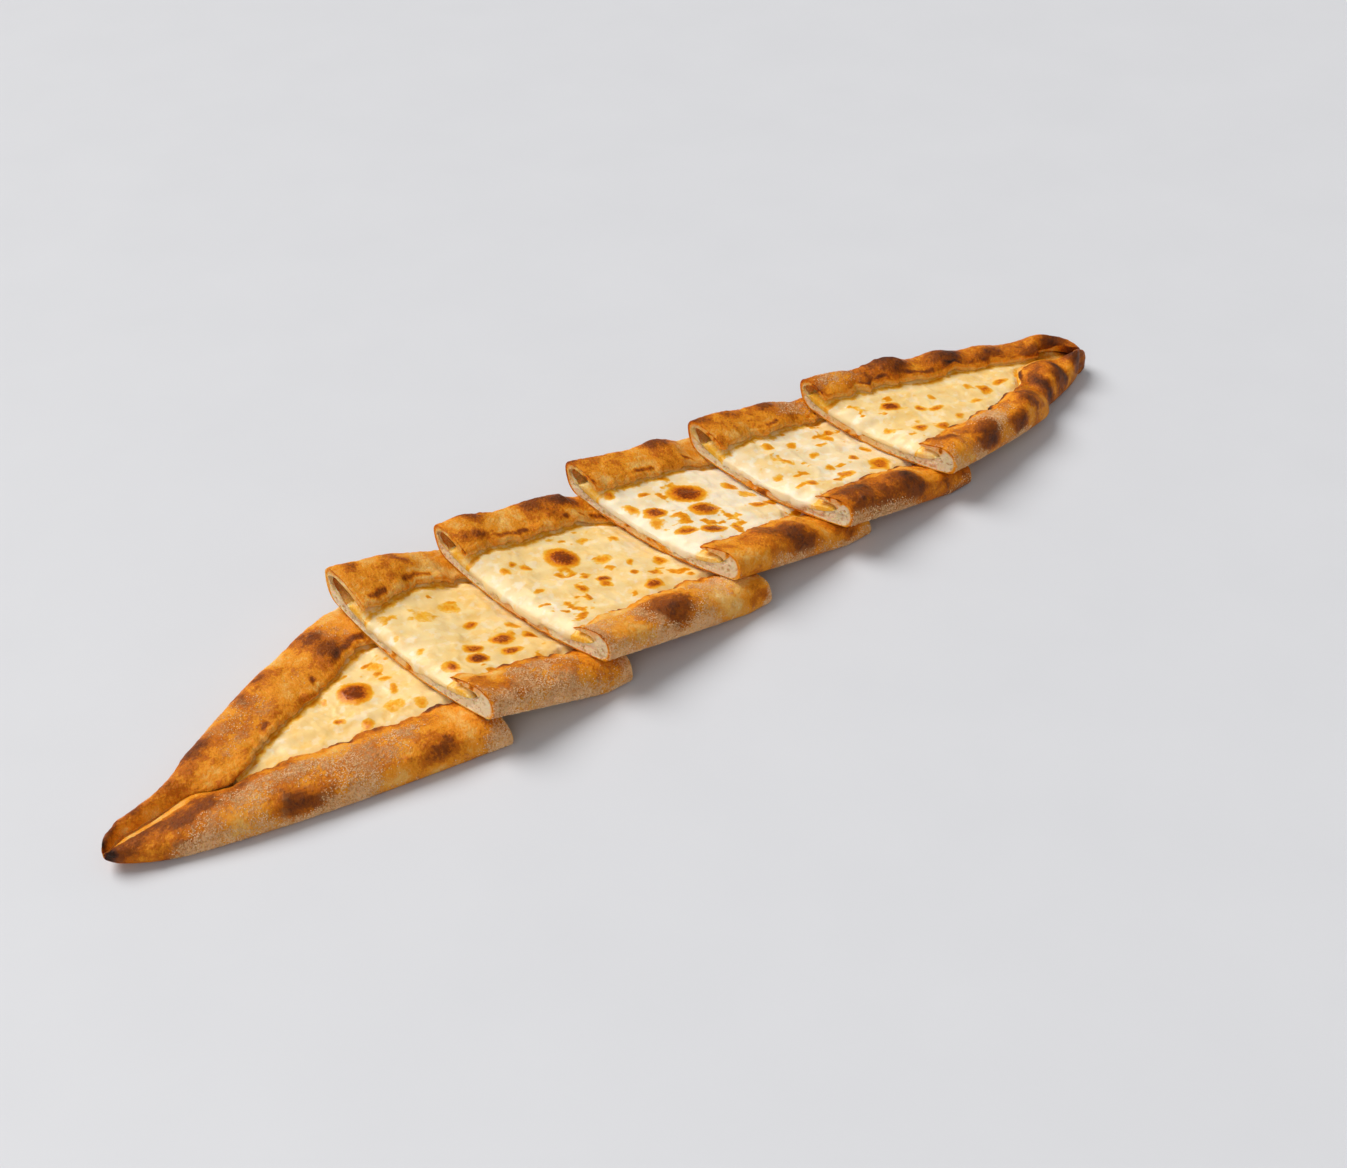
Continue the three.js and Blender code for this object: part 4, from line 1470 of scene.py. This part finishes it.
            sheet = cut.laid_points(s, y, height)
            sheet[..., 0] -= out
            sheets.append(sheet.reshape(-1, 3))
        top, bottom = sheets
        rows, columns = y.shape
        grid = np.arange(rows * columns).reshape(rows, columns)
        under = grid + rows * columns
        quads = [
            np.stack([g[:-1, :-1], g[:-1, 1:], g[1:, 1:], g[1:, :-1]], -1).reshape(-1, 4)
            for g in (grid, under[:, ::-1])
        ]
        border = np.concatenate([grid[0], grid[1:, -1], grid[-1, -2::-1], grid[-2:0:-1, 0]])
        facing = np.zeros(len(border))
        facing[:columns] = 0 if cut.first else -1
        facing[rows + columns - 2:rows + 2 * columns - 2] = 0 if cut.last else 1
        facing = facing * off_lip.ravel()[border]
        wall, wall_quads = self.wall(top[border], bottom[border], border, facing, y.size)
        fields = {}
        for key, values in ((Field.TOAST, toast.ravel()), (Field.PALE, pale.ravel())):
            on_wall = np.tile(values[border], len(self.wall_shares))
            fields[key] = np.concatenate([values, values, on_wall])
        rough = open_top * lerp(self.edge_relief, 1.0, edge)
        fields[Field.RELIEF] = np.concatenate([rough.ravel(), np.zeros(y.size + len(wall))])
        return Surface(np.concatenate([top, bottom, wall]), np.concatenate([*quads, wall_quads]), fields)

    def wall(
        self, upper: Array, lower: Array, border: Array, facing: Array, count: int
    ) -> tuple[Array, Array]:
        """The cheese's side, which bulges out at the cuts.

        Args:
            upper: The top's points along the border.
            lower: The bottom's points under them.
            border: Numbers of the top's points.
            facing: Which way along the row the side faces at each point, and how far it bulges.
            count: How many points the top has, and the bottom.

        Returns:
            The new points and the faces.
        """
        patches = smooth(self.bulges.at(self.cut.index, upper), *self.bulge_step)
        uneven = lerp(self.least_bulge, 1.0, patches)
        made = np.array([lerp(upper, lower, t) for t in self.wall_shares])
        bulge = np.sin(math.pi * np.array(self.wall_shares))[:, None] * facing * uneven
        made[..., 0] += self.cut.filling.bulge * bulge
        numbers = 2 * count + np.arange(made[..., 0].size).reshape(made.shape[:2])
        lines = np.concatenate([border[None], numbers, border[None] + count])
        turned = np.roll(lines, -1, axis=1)
        quads = np.stack([lines[:-1], lines[1:], turned[1:], turned[:-1]], -1).reshape(-1, 4)
        return made.reshape(-1, 3), quads


Value = Union["Sock", float, int, Sequence[float]]


class Sock:
    """A shader socket that can be used in sums, so that 1 - mask works."""

    def __init__(self, graph: "Graph", socket: bpy.types.NodeSocket) -> None:
        """Wraps an output socket of a graph."""
        self.graph = graph
        self.socket = socket

    def math(self, operation: str, a: Value, b: Value) -> "Sock":
        """A Math node on two values."""
        return self.graph.add("ShaderNodeMath", {"operation": operation}, {0: a, 1: b})

    def __add__(self, other: Value) -> "Sock":
        """The sum."""
        return self.math("ADD", self, other)

    __radd__ = __add__

    def __sub__(self, other: Value) -> "Sock":
        """The difference."""
        return self.math("SUBTRACT", self, other)

    def __rsub__(self, other: Value) -> "Sock":
        """The difference, from the other."""
        return self.math("SUBTRACT", other, self)

    def __mul__(self, other: Value) -> "Sock":
        """The product."""
        return self.math("MULTIPLY", self, other)

    __rmul__ = __mul__

    def step(self, low: float, high: float) -> "Sock":
        """A soft step from 0 at low to 1 at high."""
        span = {"Value": self, "From Min": low, "From Max": high}
        return self.graph.add("ShaderNodeMapRange", {"interpolation_type": "SMOOTHSTEP"}, span)


class Graph:
    """The nodes of one material or node group, written as expressions."""

    def __init__(self, tree: bpy.types.NodeTree) -> None:
        """Starts on an empty tree."""
        self.tree = tree
        tree.nodes.clear()

    @staticmethod
    def socket(sockets: Any, key: Union[str, int]) -> bpy.types.NodeSocket:
        """A node's socket by number, identifier or name, of those in use."""
        if isinstance(key, int):
            return sockets[key]
        identified = [x for x in sockets if x.identifier == key]
        named = [x for x in sockets if x.name == key and x.enabled]
        return (identified or named)[0]

    def add(
        self,
        kind: str,
        settings: Optional[dict[str, Any]] = None,
        inputs: Optional[dict[Union[str, int], Value]] = None,
        output: Union[str, int] = 0,
    ) -> Optional[Sock]:
        """Adds a node.

        Args:
            kind: The node's type.
            settings: Its settings, set first. A ramp's stops are a list of place and colour.
            inputs: Values or links of its input sockets.
            output: Which output is used.

        Returns:
            That output, or nothing for a node that has none.
        """
        node = self.tree.nodes.new(kind)
        for key, value in (settings or {}).items():
            if key == "stops":
                self.set_stops(node.color_ramp, value)
            else:
                setattr(node, key, value)
        for key, value in (inputs or {}).items():
            socket = self.socket(node.inputs, key)
            if isinstance(value, Sock):
                self.tree.links.new(value.socket, socket)
            else:
                socket.default_value = value
        return Sock(self, self.socket(node.outputs, output)) if node.outputs else None

    @staticmethod
    def set_stops(ramp: bpy.types.ColorRamp, stops: Sequence[tuple[float, Sequence[float]]]) -> None:
        """Sets a ramp's stops.

        Args:
            ramp: The ramp.
            stops: Place and colour of each.
        """
        ramp.interpolation = "EASE"
        while len(ramp.elements) < len(stops):
            ramp.elements.new(0.5)
        for element, (place, colour) in zip(ramp.elements, stops):
            element.position = place
            element.color = (*colour, 1)

    def noise(self, size: float, detail: float = 3, rough: float = 0.55, shift: float = 0) -> Sock:
        """Noise on Object coordinates.

        Args:
            size: Size of its lumps in mm.
            detail: How many finer layers it has.
            rough: How strong they are.
            shift: Moves the pattern.

        Returns:
            Its value, from 0 to 1.
        """
        place = self.add("ShaderNodeTexCoord", output="Object")
        moved = self.add("ShaderNodeVectorMath", {"operation": "ADD"}, {0: place, 1: (shift, shift, shift)})
        sizes = {"Vector": moved, "Scale": 1 / (size * MM), "Detail": detail, "Roughness": rough}
        return self.add("ShaderNodeTexNoise", None, sizes)

    def cells(self, size: float) -> Sock:
        """Distance in a Voronoi pattern on Object coordinates, for cells of a size in mm."""
        place = self.add("ShaderNodeTexCoord", output="Object")
        sizes = {"Vector": place, "Scale": 1 / (size * MM)}
        return self.add("ShaderNodeTexVoronoi", {"feature": "F1"}, sizes, "Distance")

    def value(self, name: Field) -> Sock:
        """A field that the mesh carries."""
        return self.add("ShaderNodeAttribute", {"attribute_name": name.value}, None, "Fac")

    def mix(self, share: Value, a: Value, b: Value) -> Sock:
        """Colours a and b mixed, with b's share."""
        made = {"Factor_Float": share, "A_Color": a, "B_Color": b}
        return self.add("ShaderNodeMix", {"data_type": "RGBA", "blend_type": "MIX"}, made, "Result_Color")

    def bump(self, height: Sock, depth: float, strength: float) -> Sock:
        """A bump normal.

        Args:
            height: Height, from 0 to 1.
            depth: How deep that is, in mm.
            strength: How much of it shows.

        Returns:
            The normal.
        """
        sizes = {"Height": height, "Distance": depth * MM, "Strength": strength}
        return self.add("ShaderNodeBump", None, sizes)

    def shade(self, **inputs: Value) -> None:
        """Ends a material in a Principled shader, its sockets named with _ for a space."""
        sockets = {key.replace("_", " "): value for key, value in inputs.items()}
        shader = self.add("ShaderNodeBsdfPrincipled", None, sockets)
        self.add("ShaderNodeOutputMaterial", None, {"Surface": shader})


def colour(red: float, green: float, blue: float) -> Colour:
    """An opaque colour in linear light."""
    return (red, green, blue, 1.0)


def blank_material(name: str) -> tuple[bpy.types.Material, Graph]:
    """A new material, and the graph of its empty tree."""
    made = bpy.data.materials.new(name)
    made.use_nodes = True
    return made, Graph(made.node_tree)


@dataclass(frozen=True)
class CrustFinish:
    """Baked dough: golden to burnt, with flour on it and a pale crumb at the cuts whose pores have painted
    shade.

    A grain is size in mm, detail, roughness and shift of a noise. A bump is depth in mm and strength.
    """

    bake: Stops = (
        (0.0, (0.88, 0.66, 0.34)),
        (0.2, (0.83, 0.44, 0.10)),
        (0.38, (0.80, 0.285, 0.012)),
        (0.52, (0.54, 0.142, 0.003)),
        (0.68, (0.24, 0.056, 0.004)),
        (0.85, (0.11, 0.030, 0.009)),
        (1.0, (0.035, 0.012, 0.005)),
    )
    film: Colour = colour(0.83, 0.42, 0.15)
    flour: Colour = colour(0.89, 0.53, 0.26)
    crumb: Colour = colour(0.82, 0.65, 0.41)
    # Painted shade in the crumb's pores.
    crumb_hollow: Colour = colour(0.64, 0.41, 0.19)
    blotch: Grain = (10, 3)
    mottle: Grain = (3.4, 4, 0.6, 0.3)
    grain: Grain = (1.1, 3, 0.65, 0.7)
    speck: Grain = (1.1, 2, 0.75, 1.3)
    pore_gap: Grain = (1.8, 2, 0.5, 2.1)
    pore: float = 3.0
    pore_step: Range = (0.08, 0.4)
    pore_gap_step: Range = (0.28, 0.45)
    grain_tones: Triple = (0.5, 0.36, 0.34)
    raised_tone: float = 0.12
    dust_level: float = 0.62
    dust_specks: float = 3.0
    dust_step: Range = (0.42, 0.7)
    dust_share: float = 0.66
    film_level: float = 0.8
    film_blotch: float = 2.6
    film_mottle: float = 2.2
    film_step: Range = (0.3, 1.0)
    film_share: float = 0.5
    crumb_step: Range = (0.3, 0.95)
    rough: float = 0.55
    rough_dust: float = 0.3
    rough_crumb: float = 0.2
    sheen: float = 0.1
    sheen_step: Range = (0.2, 0.5)
    heights: tuple[float, float, float, float] = (0.8, 0.6, 0.5, 0.5)
    bump: Range = (0.8, 1.0)
    shine: float = 0.12
    glow: float = 0.45
    glow_radius: Triple = (1.0, 0.45, 0.15)
    glow_depth: float = 3

    def material(self) -> bpy.types.Material:
        """The finish as a material."""
        made, g = blank_material("baked_crust")
        blotch, mottle, grain = (g.noise(*noise) for noise in (self.blotch, self.mottle, self.grain))
        brown = g.value(Field.BROWN)
        for noise, share in zip((blotch, mottle, grain), self.grain_tones):
            brown = brown + (noise - 0.5) * share
        brown = brown + g.value(Field.RAISED) * self.raised_tone
        baked = g.add("ShaderNodeValToRGB", {"stops": self.bake}, {"Fac": brown}, "Color")
        speck = g.noise(*self.speck)
        floury = g.value(Field.FLOUR)
        dust = floury * (self.dust_level + (speck - 0.5) * self.dust_specks + (mottle - 0.5))
        dust = dust.step(*self.dust_step)
        film = self.film_level + (blotch - 0.5) * self.film_blotch + (mottle - 0.5) * self.film_mottle
        film = (floury * film).step(*self.film_step)
        dusted = g.mix(film * self.film_share, baked, self.film)
        dusted = g.mix(dust * self.dust_share, dusted, self.flour)
        # Painted shade: the crumb is darker in its pores.
        pore = g.cells(self.pore).step(*self.pore_step)
        pore = pore * g.noise(*self.pore_gap).step(*self.pore_gap_step)
        inner = g.mix(pore, self.crumb_hollow, self.crumb)
        crumb = g.value(Field.CRUMB)
        base = g.mix(crumb.step(*self.crumb_step), dusted, inner)
        rough = self.rough + dust * self.rough_dust + crumb * self.rough_crumb
        rough = rough - brown.step(*self.sheen_step) * self.sheen
        of_grain, of_mottle, of_dust, of_pore = self.heights
        height = grain * of_grain + mottle * of_mottle + dust * of_dust + pore * crumb * of_pore
        g.shade(
            Base_Color=base,
            Roughness=rough,
            Normal=g.bump(height, *self.bump),
            Specular_IOR_Level=self.shine,
            Subsurface_Weight=self.glow,
            Subsurface_Radius=self.glow_radius,
            Subsurface_Scale=self.glow_depth * MM,
        )
        return made


@dataclass(frozen=True)
class CheeseFinish:
    """Melted cheese: creamy, a little oily, toasted in spots."""

    melt: Colour = colour(0.90, 0.67, 0.31)
    rich: Colour = colour(0.88, 0.52, 0.11)
    curd: Colour = colour(0.91, 0.80, 0.60)
    toast: Stops = (
        (0.0, (0.90, 0.62, 0.15)),
        (0.25, (0.86, 0.45, 0.035)),
        (0.42, (0.80, 0.29, 0.002)),
        (0.6, (0.60, 0.15, 0.0)),
        (0.8, (0.35, 0.066, 0.0)),
        (1.0, (0.19, 0.034, 0.001)),
    )
    cloud: Grain = (18, 2)
    string: Grain = (4.5, 3, 0.5, 0.4)
    grain: Grain = (1.2, 2, 0.5, 0.9)
    patch: Grain = (6, 3, 0.6, 1.7)
    uneven_step: Range = (0.02, 0.2)
    uneven_string: float = 0.4
    uneven_grain: float = 0.3
    dark_step: Range = (0.45, 0.8)
    dark_grain: float = 0.7
    cloud_step: Range = (0.42, 0.62)
    cloud_share: float = 0.35
    patch_step: Range = (0.5, 0.66)
    patch_share: float = 0.4
    string_step: Range = (0.5, 0.64)
    string_share: float = 0.4
    pale_share: float = 0.75
    cooked_step: Range = (0.08, 0.28)
    rough: float = 0.36
    rough_string: float = 0.3
    sheen: float = 0.1
    sheen_step: Range = (0.5, 0.8)
    string_height: float = 0.6
    grain_height: float = 0.12
    dark_height: float = 0.8
    dark_rise: Range = (0.5, 0.9)
    spot_height: float = 0.3
    spot_rise: Range = (0.2, 0.7)
    bump: Range = (0.4, 0.6)
    shine: float = 0.22
    glow: float = 0.4
    glow_radius: Triple = (1.0, 0.7, 0.35)
    glow_depth: float = 3

    def material(self) -> bpy.types.Material:
        """The finish as a material."""
        made, g = blank_material("melted_cheese")
        noises = (self.cloud, self.string, self.grain, self.patch)
        cloud, string, grain, patch = (g.noise(*noise) for noise in noises)
        # The toast field holds the toasted spots and the painted shade along the lips.
        toasted = g.value(Field.TOAST)
        uneven = (string - 0.5) * self.uneven_string + (grain - 0.5) * self.uneven_grain
        toast = toasted + toasted.step(*self.uneven_step) * uneven
        toast = toast + toasted.step(*self.dark_step) * (grain - 0.5) * self.dark_grain
        clouds, patches = cloud.step(*self.cloud_step), patch.step(*self.patch_step)
        creamy = g.mix(clouds * self.cloud_share + patches * self.patch_share, self.melt, self.rich)
        curdled = string.step(*self.string_step) * self.string_share + g.value(Field.PALE) * self.pale_share
        creamy = g.mix(curdled.step(0, 1), creamy, self.curd)
        cooked = g.add("ShaderNodeValToRGB", {"stops": self.toast}, {"Fac": toast}, "Color")
        base = g.mix(toast.step(*self.cooked_step), creamy, cooked)
        rough = self.rough + (string - 0.5) * self.rough_string - toast.step(*self.sheen_step) * self.sheen
        coarse = self.grain_height + toast.step(*self.dark_rise) * self.dark_height
        height = string * self.string_height + grain * coarse + toast.step(*self.spot_rise) * self.spot_height
        g.shade(
            Base_Color=base,
            Roughness=rough,
            Normal=g.bump(height, *self.bump),
            Specular_IOR_Level=self.shine,
            Subsurface_Weight=self.glow,
            Subsurface_Radius=self.glow_radius,
            Subsurface_Scale=self.glow_depth * MM,
        )
        return made


@dataclass(frozen=True)
class FlourFinish:
    """Toasted flour grains."""

    pale: Colour = colour(0.88, 0.60, 0.34)
    dark: Colour = colour(0.66, 0.37, 0.16)

    def material(self) -> bpy.types.Material:
        """The finish as a material."""
        made, g = blank_material("flour_grains")
        g.shade(Base_Color=g.mix(g.noise(5, 2).step(0.35, 0.65), self.pale, self.dark), Roughness=0.9)
        return made


@dataclass(frozen=True)
class FloorFinish:
    """A plain pale floor."""

    pale: Colour = colour(0.655, 0.67, 0.71)
    shade: Colour = colour(0.62, 0.635, 0.675)

    def material(self) -> bpy.types.Material:
        """The finish as a material."""
        made, g = blank_material("pale_floor")
        g.shade(Base_Color=g.mix(g.noise(60, 4), self.pale, self.shade), Roughness=0.6)
        return made


class NodeTool:
    """A Geometry Nodes tree that is run on a mesh and baked to a plain one."""

    def __init__(self, name: str) -> None:
        """Starts an empty tree with a geometry going in and out."""
        self.tree = bpy.data.node_groups.new(name, "GeometryNodeTree")
        self.graph = Graph(self.tree)
        self.tree.interface.new_socket("Geometry", in_out="OUTPUT", socket_type="NodeSocketGeometry")
        self.tree.interface.new_socket("Geometry", in_out="INPUT", socket_type="NodeSocketGeometry")
        self.ids: dict[str, str] = {}
        self.source: Optional[bpy.types.Node] = None

    def size(self, name: str, default: float) -> None:
        """Adds a named number that a modifier can set."""
        made = self.tree.interface.new_socket(name, in_out="INPUT", socket_type="NodeSocketFloat")
        made.default_value = default
        self.ids[name] = made.identifier

    def given(self, name: str) -> Sock:
        """What comes in under a name."""
        if self.source is None:
            self.source = self.tree.nodes.new("NodeGroupInput")
        return Sock(self.graph, self.source.outputs[name])

    def field(self, name: Field) -> Sock:
        """A field that the mesh carries."""
        kept = {"Name": name.value}
        return self.graph.add("GeometryNodeInputNamedAttribute", {"data_type": "FLOAT"}, kept, "Attribute")

    def end(self, geometry: Sock) -> None:
        """Ends the tree in a geometry."""
        self.graph.add("NodeGroupOutput", None, {"Geometry": geometry})

    def bake(self, obj: bpy.types.Object, sizes: dict[str, float]) -> bpy.types.Mesh:
        """Runs the tree on an object.

        Args:
            obj: The object, left without the modifier.
            sizes: Values of the tree's named numbers.

        Returns:
            The result as a plain mesh.
        """
        modifier = obj.modifiers.new(self.tree.name, "NODES")
        modifier.node_group = self.tree
        for name, value in sizes.items():
            modifier[self.ids[name]] = value
        graph = bpy.context.evaluated_depsgraph_get()
        ready = obj.evaluated_get(graph)
        made = bpy.data.meshes.new_from_object(ready, preserve_all_data_layers=True, depsgraph=graph)
        obj.modifiers.remove(modifier)
        return made


@dataclass(frozen=True)
class Relief:
    """Sizes of a surface's fine relief, in mm.

    Attributes:
        lump: Size of its broad lumps.
        lump_height: How high they are.
        grain: Size of its fine grain.
        grain_height: How high it is.
        bubble: Spacing of its small bubbles.
        bubble_height: How high they are.
    """

    lump: float
    lump_height: float
    grain: float
    grain_height: float
    bubble: float
    bubble_height: float


class ReliefTool(NodeTool):
    """Pushes a mesh's points out and in along its normals, where its relief field says."""

    PATCH = 16.0
    PATCH_STEP: Range = (-0.1 * MM, 0.25 * MM)
    DOME_STEP: Range = (0.5, 0.95)

    def __init__(self) -> None:
        """Builds the tree."""
        super().__init__("surface_relief")
        for name in ("Lump", "Lump Height", "Grain", "Grain Height", "Bubble", "Bubble Height", "Seed"):
            self.size(name, 1.0)
        self.size("Patch", self.PATCH)
        self.size("Patch Share", 1.0)
        g = self.graph
        place = g.add("GeometryNodeInputPosition")
        total = self.layer(place, "Lump", "Lump Height", 2) + self.layer(place, "Grain", "Grain Height", 2)
        cells = {"Vector": place, "W": self.given("Seed"), "Scale": self.per("Bubble")}
        spots = g.add("ShaderNodeTexVoronoi", {"voronoi_dimensions": "4D"}, cells, "Distance")
        patch = self.layer(place, "Patch", "Patch Share", 1).step(*self.PATCH_STEP)
        dome = (1 - spots).step(*self.DOME_STEP) * patch
        total = total + dome * self.given("Bubble Height") * MM
        rise = total * self.field(Field.RELIEF)
        scaled = {0: g.add("GeometryNodeInputNormal"), "Scale": rise}
        away = g.add("ShaderNodeVectorMath", {"operation": "SCALE"}, scaled)
        raised = {
            "Geometry": self.given("Geometry"),
            "Name": Field.RAISED.value,
            "Value": rise * (1 / MM),
        }
        stored = g.add("GeometryNodeStoreNamedAttribute", {"data_type": "FLOAT", "domain": "POINT"}, raised)
        self.end(g.add("GeometryNodeSetPosition", None, {"Geometry": stored, "Offset": away}))

    def per(self, name: str) -> Sock:
        """A texture scale for lumps of a named size in mm."""
        return self.graph.add("ShaderNodeMath", {"operation": "DIVIDE"}, {0: 1 / MM, 1: self.given(name)})

    def layer(self, place: Sock, size: str, height: str, detail: float) -> Sock:
        """A layer of noise of a named size and height, in metres."""
        sizes = {"Vector": place, "W": self.given("Seed"), "Scale": self.per(size), "Detail": detail}
        made = self.graph.add("ShaderNodeTexNoise", {"noise_dimensions": "4D"}, sizes)
        return (made - 0.5) * self.given(height) * (2 * MM)

    def apply(self, obj: bpy.types.Object, relief: Relief, seed: int) -> None:
        """Gives an object its relief.

        Args:
            obj: The object, whose mesh is replaced.
            relief: The sizes.
            seed: Changes the pattern.
        """
        sizes = {name.replace("_", " ").title(): value for name, value in asdict(relief).items()}
        sizes["Seed"] = float(seed)
        old, obj.data = obj.data, self.bake(obj, sizes)
        name = old.name
        bpy.data.meshes.remove(old)
        obj.data.name = name


class FlourTool(NodeTool):
    """Scatters grains over a mesh where its flour field says."""

    DUSTY_STEP: Range = (0.35, 1.0)
    MOST_TURN: Triple = (6.3, 6.3, 6.3)

    def __init__(self, finish: bpy.types.Material, seed: int) -> None:
        """Builds the tree.

        Args:
            finish: The grains' material.
            seed: Fixes the scatter.
        """
        super().__init__("flour_scatter")
        for name in ("Grains Per Square Metre", "Radius", "Least"):
            self.size(name, 1.0)
        g = self.graph
        dusty = self.field(Field.FLOUR).step(*self.DUSTY_STEP)
        density = dusty * self.given("Grains Per Square Metre")
        spread = {"Mesh": self.given("Geometry"), "Density": density, "Seed": seed}
        scatter = {"distribute_method": "RANDOM"}
        points = g.add("GeometryNodeDistributePointsOnFaces", scatter, spread, "Points")
        ball = {"Radius": self.given("Radius"), "Subdivisions": 1}
        grain = g.add("GeometryNodeMeshIcoSphere", None, ball, "Mesh")
        share = {"Min_001": self.given("Least"), "Max_001": 1.0, "Seed": seed + 1}
        sizes = g.add("FunctionNodeRandomValue", {"data_type": "FLOAT"}, share, "Value_001")
        any_turn = {"Max": self.MOST_TURN, "Seed": seed + 2}
        turns = g.add("FunctionNodeRandomValue", {"data_type": "FLOAT_VECTOR"}, any_turn, "Value")
        set_out = {"Points": points, "Instance": grain, "Rotation": turns, "Scale": sizes}
        grains = g.add("GeometryNodeInstanceOnPoints", None, set_out)
        whole = g.add("GeometryNodeRealizeInstances", None, {"Geometry": grains})
        self.end(g.add("GeometryNodeSetMaterial", None, {"Geometry": whole, "Material": finish}))


@dataclass
class Pide:
    """The whole bread: its slices, their finishes and the flour on them."""

    boat: Boat = field(default_factory=Boat)
    filling: Filling = field(default_factory=Filling)
    crust_relief: Relief = Relief(8, 0.6, 2.4, 0.34, 4.5, 0.6)
    cheese_relief: Relief = Relief(7, 0.5, 3.0, 0.12, 7.0, 0.3)
    grains_per_square_metre: float = 1900000
    grain_radius: float = 0.32
    least_grain: float = 0.4
    sharp_edge: float = 55

    def build(self) -> list[bpy.types.Object]:
        """Builds and dresses every piece.

        Returns:
            The pieces.
        """
        slices = [Slice(i, self.boat, self.filling, laid) for i, laid in enumerate(LAID)]
        for low, high in zip(slices, slices[1:]):
            low.above = high
        finishes = {Slot.CRUST: CrustFinish().material(), Slot.CHEESE: CheeseFinish().material()}
        tool = ReliefTool()
        made: dict[Slot, list[bpy.types.Object]] = {slot: [] for slot in Slot}
        for cut in slices:
            for slot, maker in ((Slot.CRUST, Dough(cut)), (Slot.CHEESE, Cheese(cut))):
                node = f"slice_{cut.index + 1}_{slot.value}"
                made[slot].append(self.piece(maker.surface(), node, slot, finishes[slot], tool, cut.index))
        return [*made[Slot.CRUST], *made[Slot.CHEESE], self.dust(made[Slot.CRUST])]

    def piece(
        self,
        surface: Surface,
        node: str,
        slot: Slot,
        finish: bpy.types.Material,
        tool: ReliefTool,
        seed: int,
    ) -> bpy.types.Object:
        """Makes one piece and sets it in the place of its solid.

        Args:
            surface: Its mesh.
            node: The solid that it stands for.
            slot: Crust or cheese, which picks its relief.
            finish: Its material.
            tool: Gives it its fine relief.
            seed: Changes the relief's pattern.

        Returns:
            The piece.
        """
        obj = surface.to_object(f"{node}_baked")
        tool.apply(obj, self.crust_relief if slot is Slot.CRUST else self.cheese_relief, seed)
        obj.data.set_sharp_from_angle(angle=math.radians(self.sharp_edge))
        obj.data.materials.clear()
        obj.data.materials.append(finish)
        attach(obj, "root")
        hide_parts(node)
        LOG.info("%s: %d faces", obj.name, len(obj.data.polygons))
        return obj

    def dust(self, crusts: Sequence[bpy.types.Object]) -> bpy.types.Object:
        """Scatters flour over the crusts.

        Args:
            crusts: The dough pieces.

        Returns:
            One piece of all the grains.
        """
        tool = FlourTool(FlourFinish().material(), FLOUR_SEED)
        sizes = {
            "Grains Per Square Metre": self.grains_per_square_metre,
            "Radius": self.grain_radius * MM,
            "Least": self.least_grain,
        }
        meshes = [tool.bake(crust, sizes) for crust in crusts]
        parts = [bpy.data.objects.new(mesh.name, mesh) for mesh in meshes]
        for part in parts:
            bpy.context.scene.collection.objects.link(part)
        with bpy.context.temp_override(active_object=parts[0], selected_editable_objects=parts):
            bpy.ops.object.join()
        grains = parts[0]
        grains.name = grains.data.name = "flour_grains"
        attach(grains, "root")
        LOG.info("%s: %d faces", grains.name, len(grains.data.polygons))
        return grains


@dataclass(frozen=True)
class Lamp:
    """A soft even light: the direction that it comes from, its spread in degrees, its strength and colour."""

    name: str
    place: Triple
    spread: float
    strength: float
    tint: Triple


@dataclass(frozen=True)
class Studio:
    """The floor, the lights and the camera."""

    floor_half: float = 4.0
    camera_at: Triple = (-0.4122, -0.5088, 0.5116)
    camera_aim: Triple = (-0.0029, -0.0158, 0.0)
    lens: float = 50
    sensor: float = 36
    world: Colour = colour(1.0, 0.985, 0.96)
    world_strength: float = 0.25
    lamps: tuple[Lamp, ...] = (
        Lamp("window", (-0.5, 1.4, 1.8), 40, 3.0, (1.0, 0.98, 0.95)),
        Lamp("left_fill", (-1.7, -1.5, 1.3), 50, 0.75, (1.0, 0.98, 0.96)),
    )

    def aim(self, obj: bpy.types.Object, target: Sequence[float]) -> None:
        """Turns a light or camera to a point."""
        obj.rotation_euler = (Vector(target) - obj.location).to_track_quat("-Z", "Y").to_euler()

    def build(self) -> None:
        """Sets up the stage."""
        scene = bpy.context.scene
        h = self.floor_half
        mesh = bpy.data.meshes.new("floor")
        mesh.from_pydata([(-h, -h, 0), (h, -h, 0), (h, h, 0), (-h, h, 0)], [], [(0, 1, 2, 3)])
        mesh.materials.append(FloorFinish().material())
        floor = bpy.data.objects.new("floor", mesh)
        scene.collection.objects.link(floor)
        for lamp in self.lamps:
            light = bpy.data.lights.new(lamp.name, "SUN")
            light.angle, light.energy, light.color = math.radians(lamp.spread), lamp.strength, lamp.tint
            holder = bpy.data.objects.new(lamp.name, light)
            holder.location = lamp.place
            self.aim(holder, (0, 0, 0))
            scene.collection.objects.link(holder)
        world = bpy.data.worlds.new("studio")
        world.use_nodes = True
        backdrop = world.node_tree.nodes["Background"]
        backdrop.inputs["Color"].default_value = self.world
        backdrop.inputs["Strength"].default_value = self.world_strength
        scene.world = world
        lens = bpy.data.cameras.new("camera")
        lens.lens, lens.sensor_width = self.lens, self.sensor
        camera = bpy.data.objects.new("camera", lens)
        camera.location = self.camera_at
        self.aim(camera, self.camera_aim)
        scene.collection.objects.link(camera)
        scene.camera = camera
        scene.view_settings.view_transform = "Standard"


def main() -> None:
    """Builds the stage and the bread, and reports each piece."""
    logging.basicConfig(level=logging.INFO, format="%(name)s %(message)s")
    Studio().build()
    pieces = Pide().build()
    LOG.info("%d pieces", len(pieces))


if __name__ == "__main__":
    main()
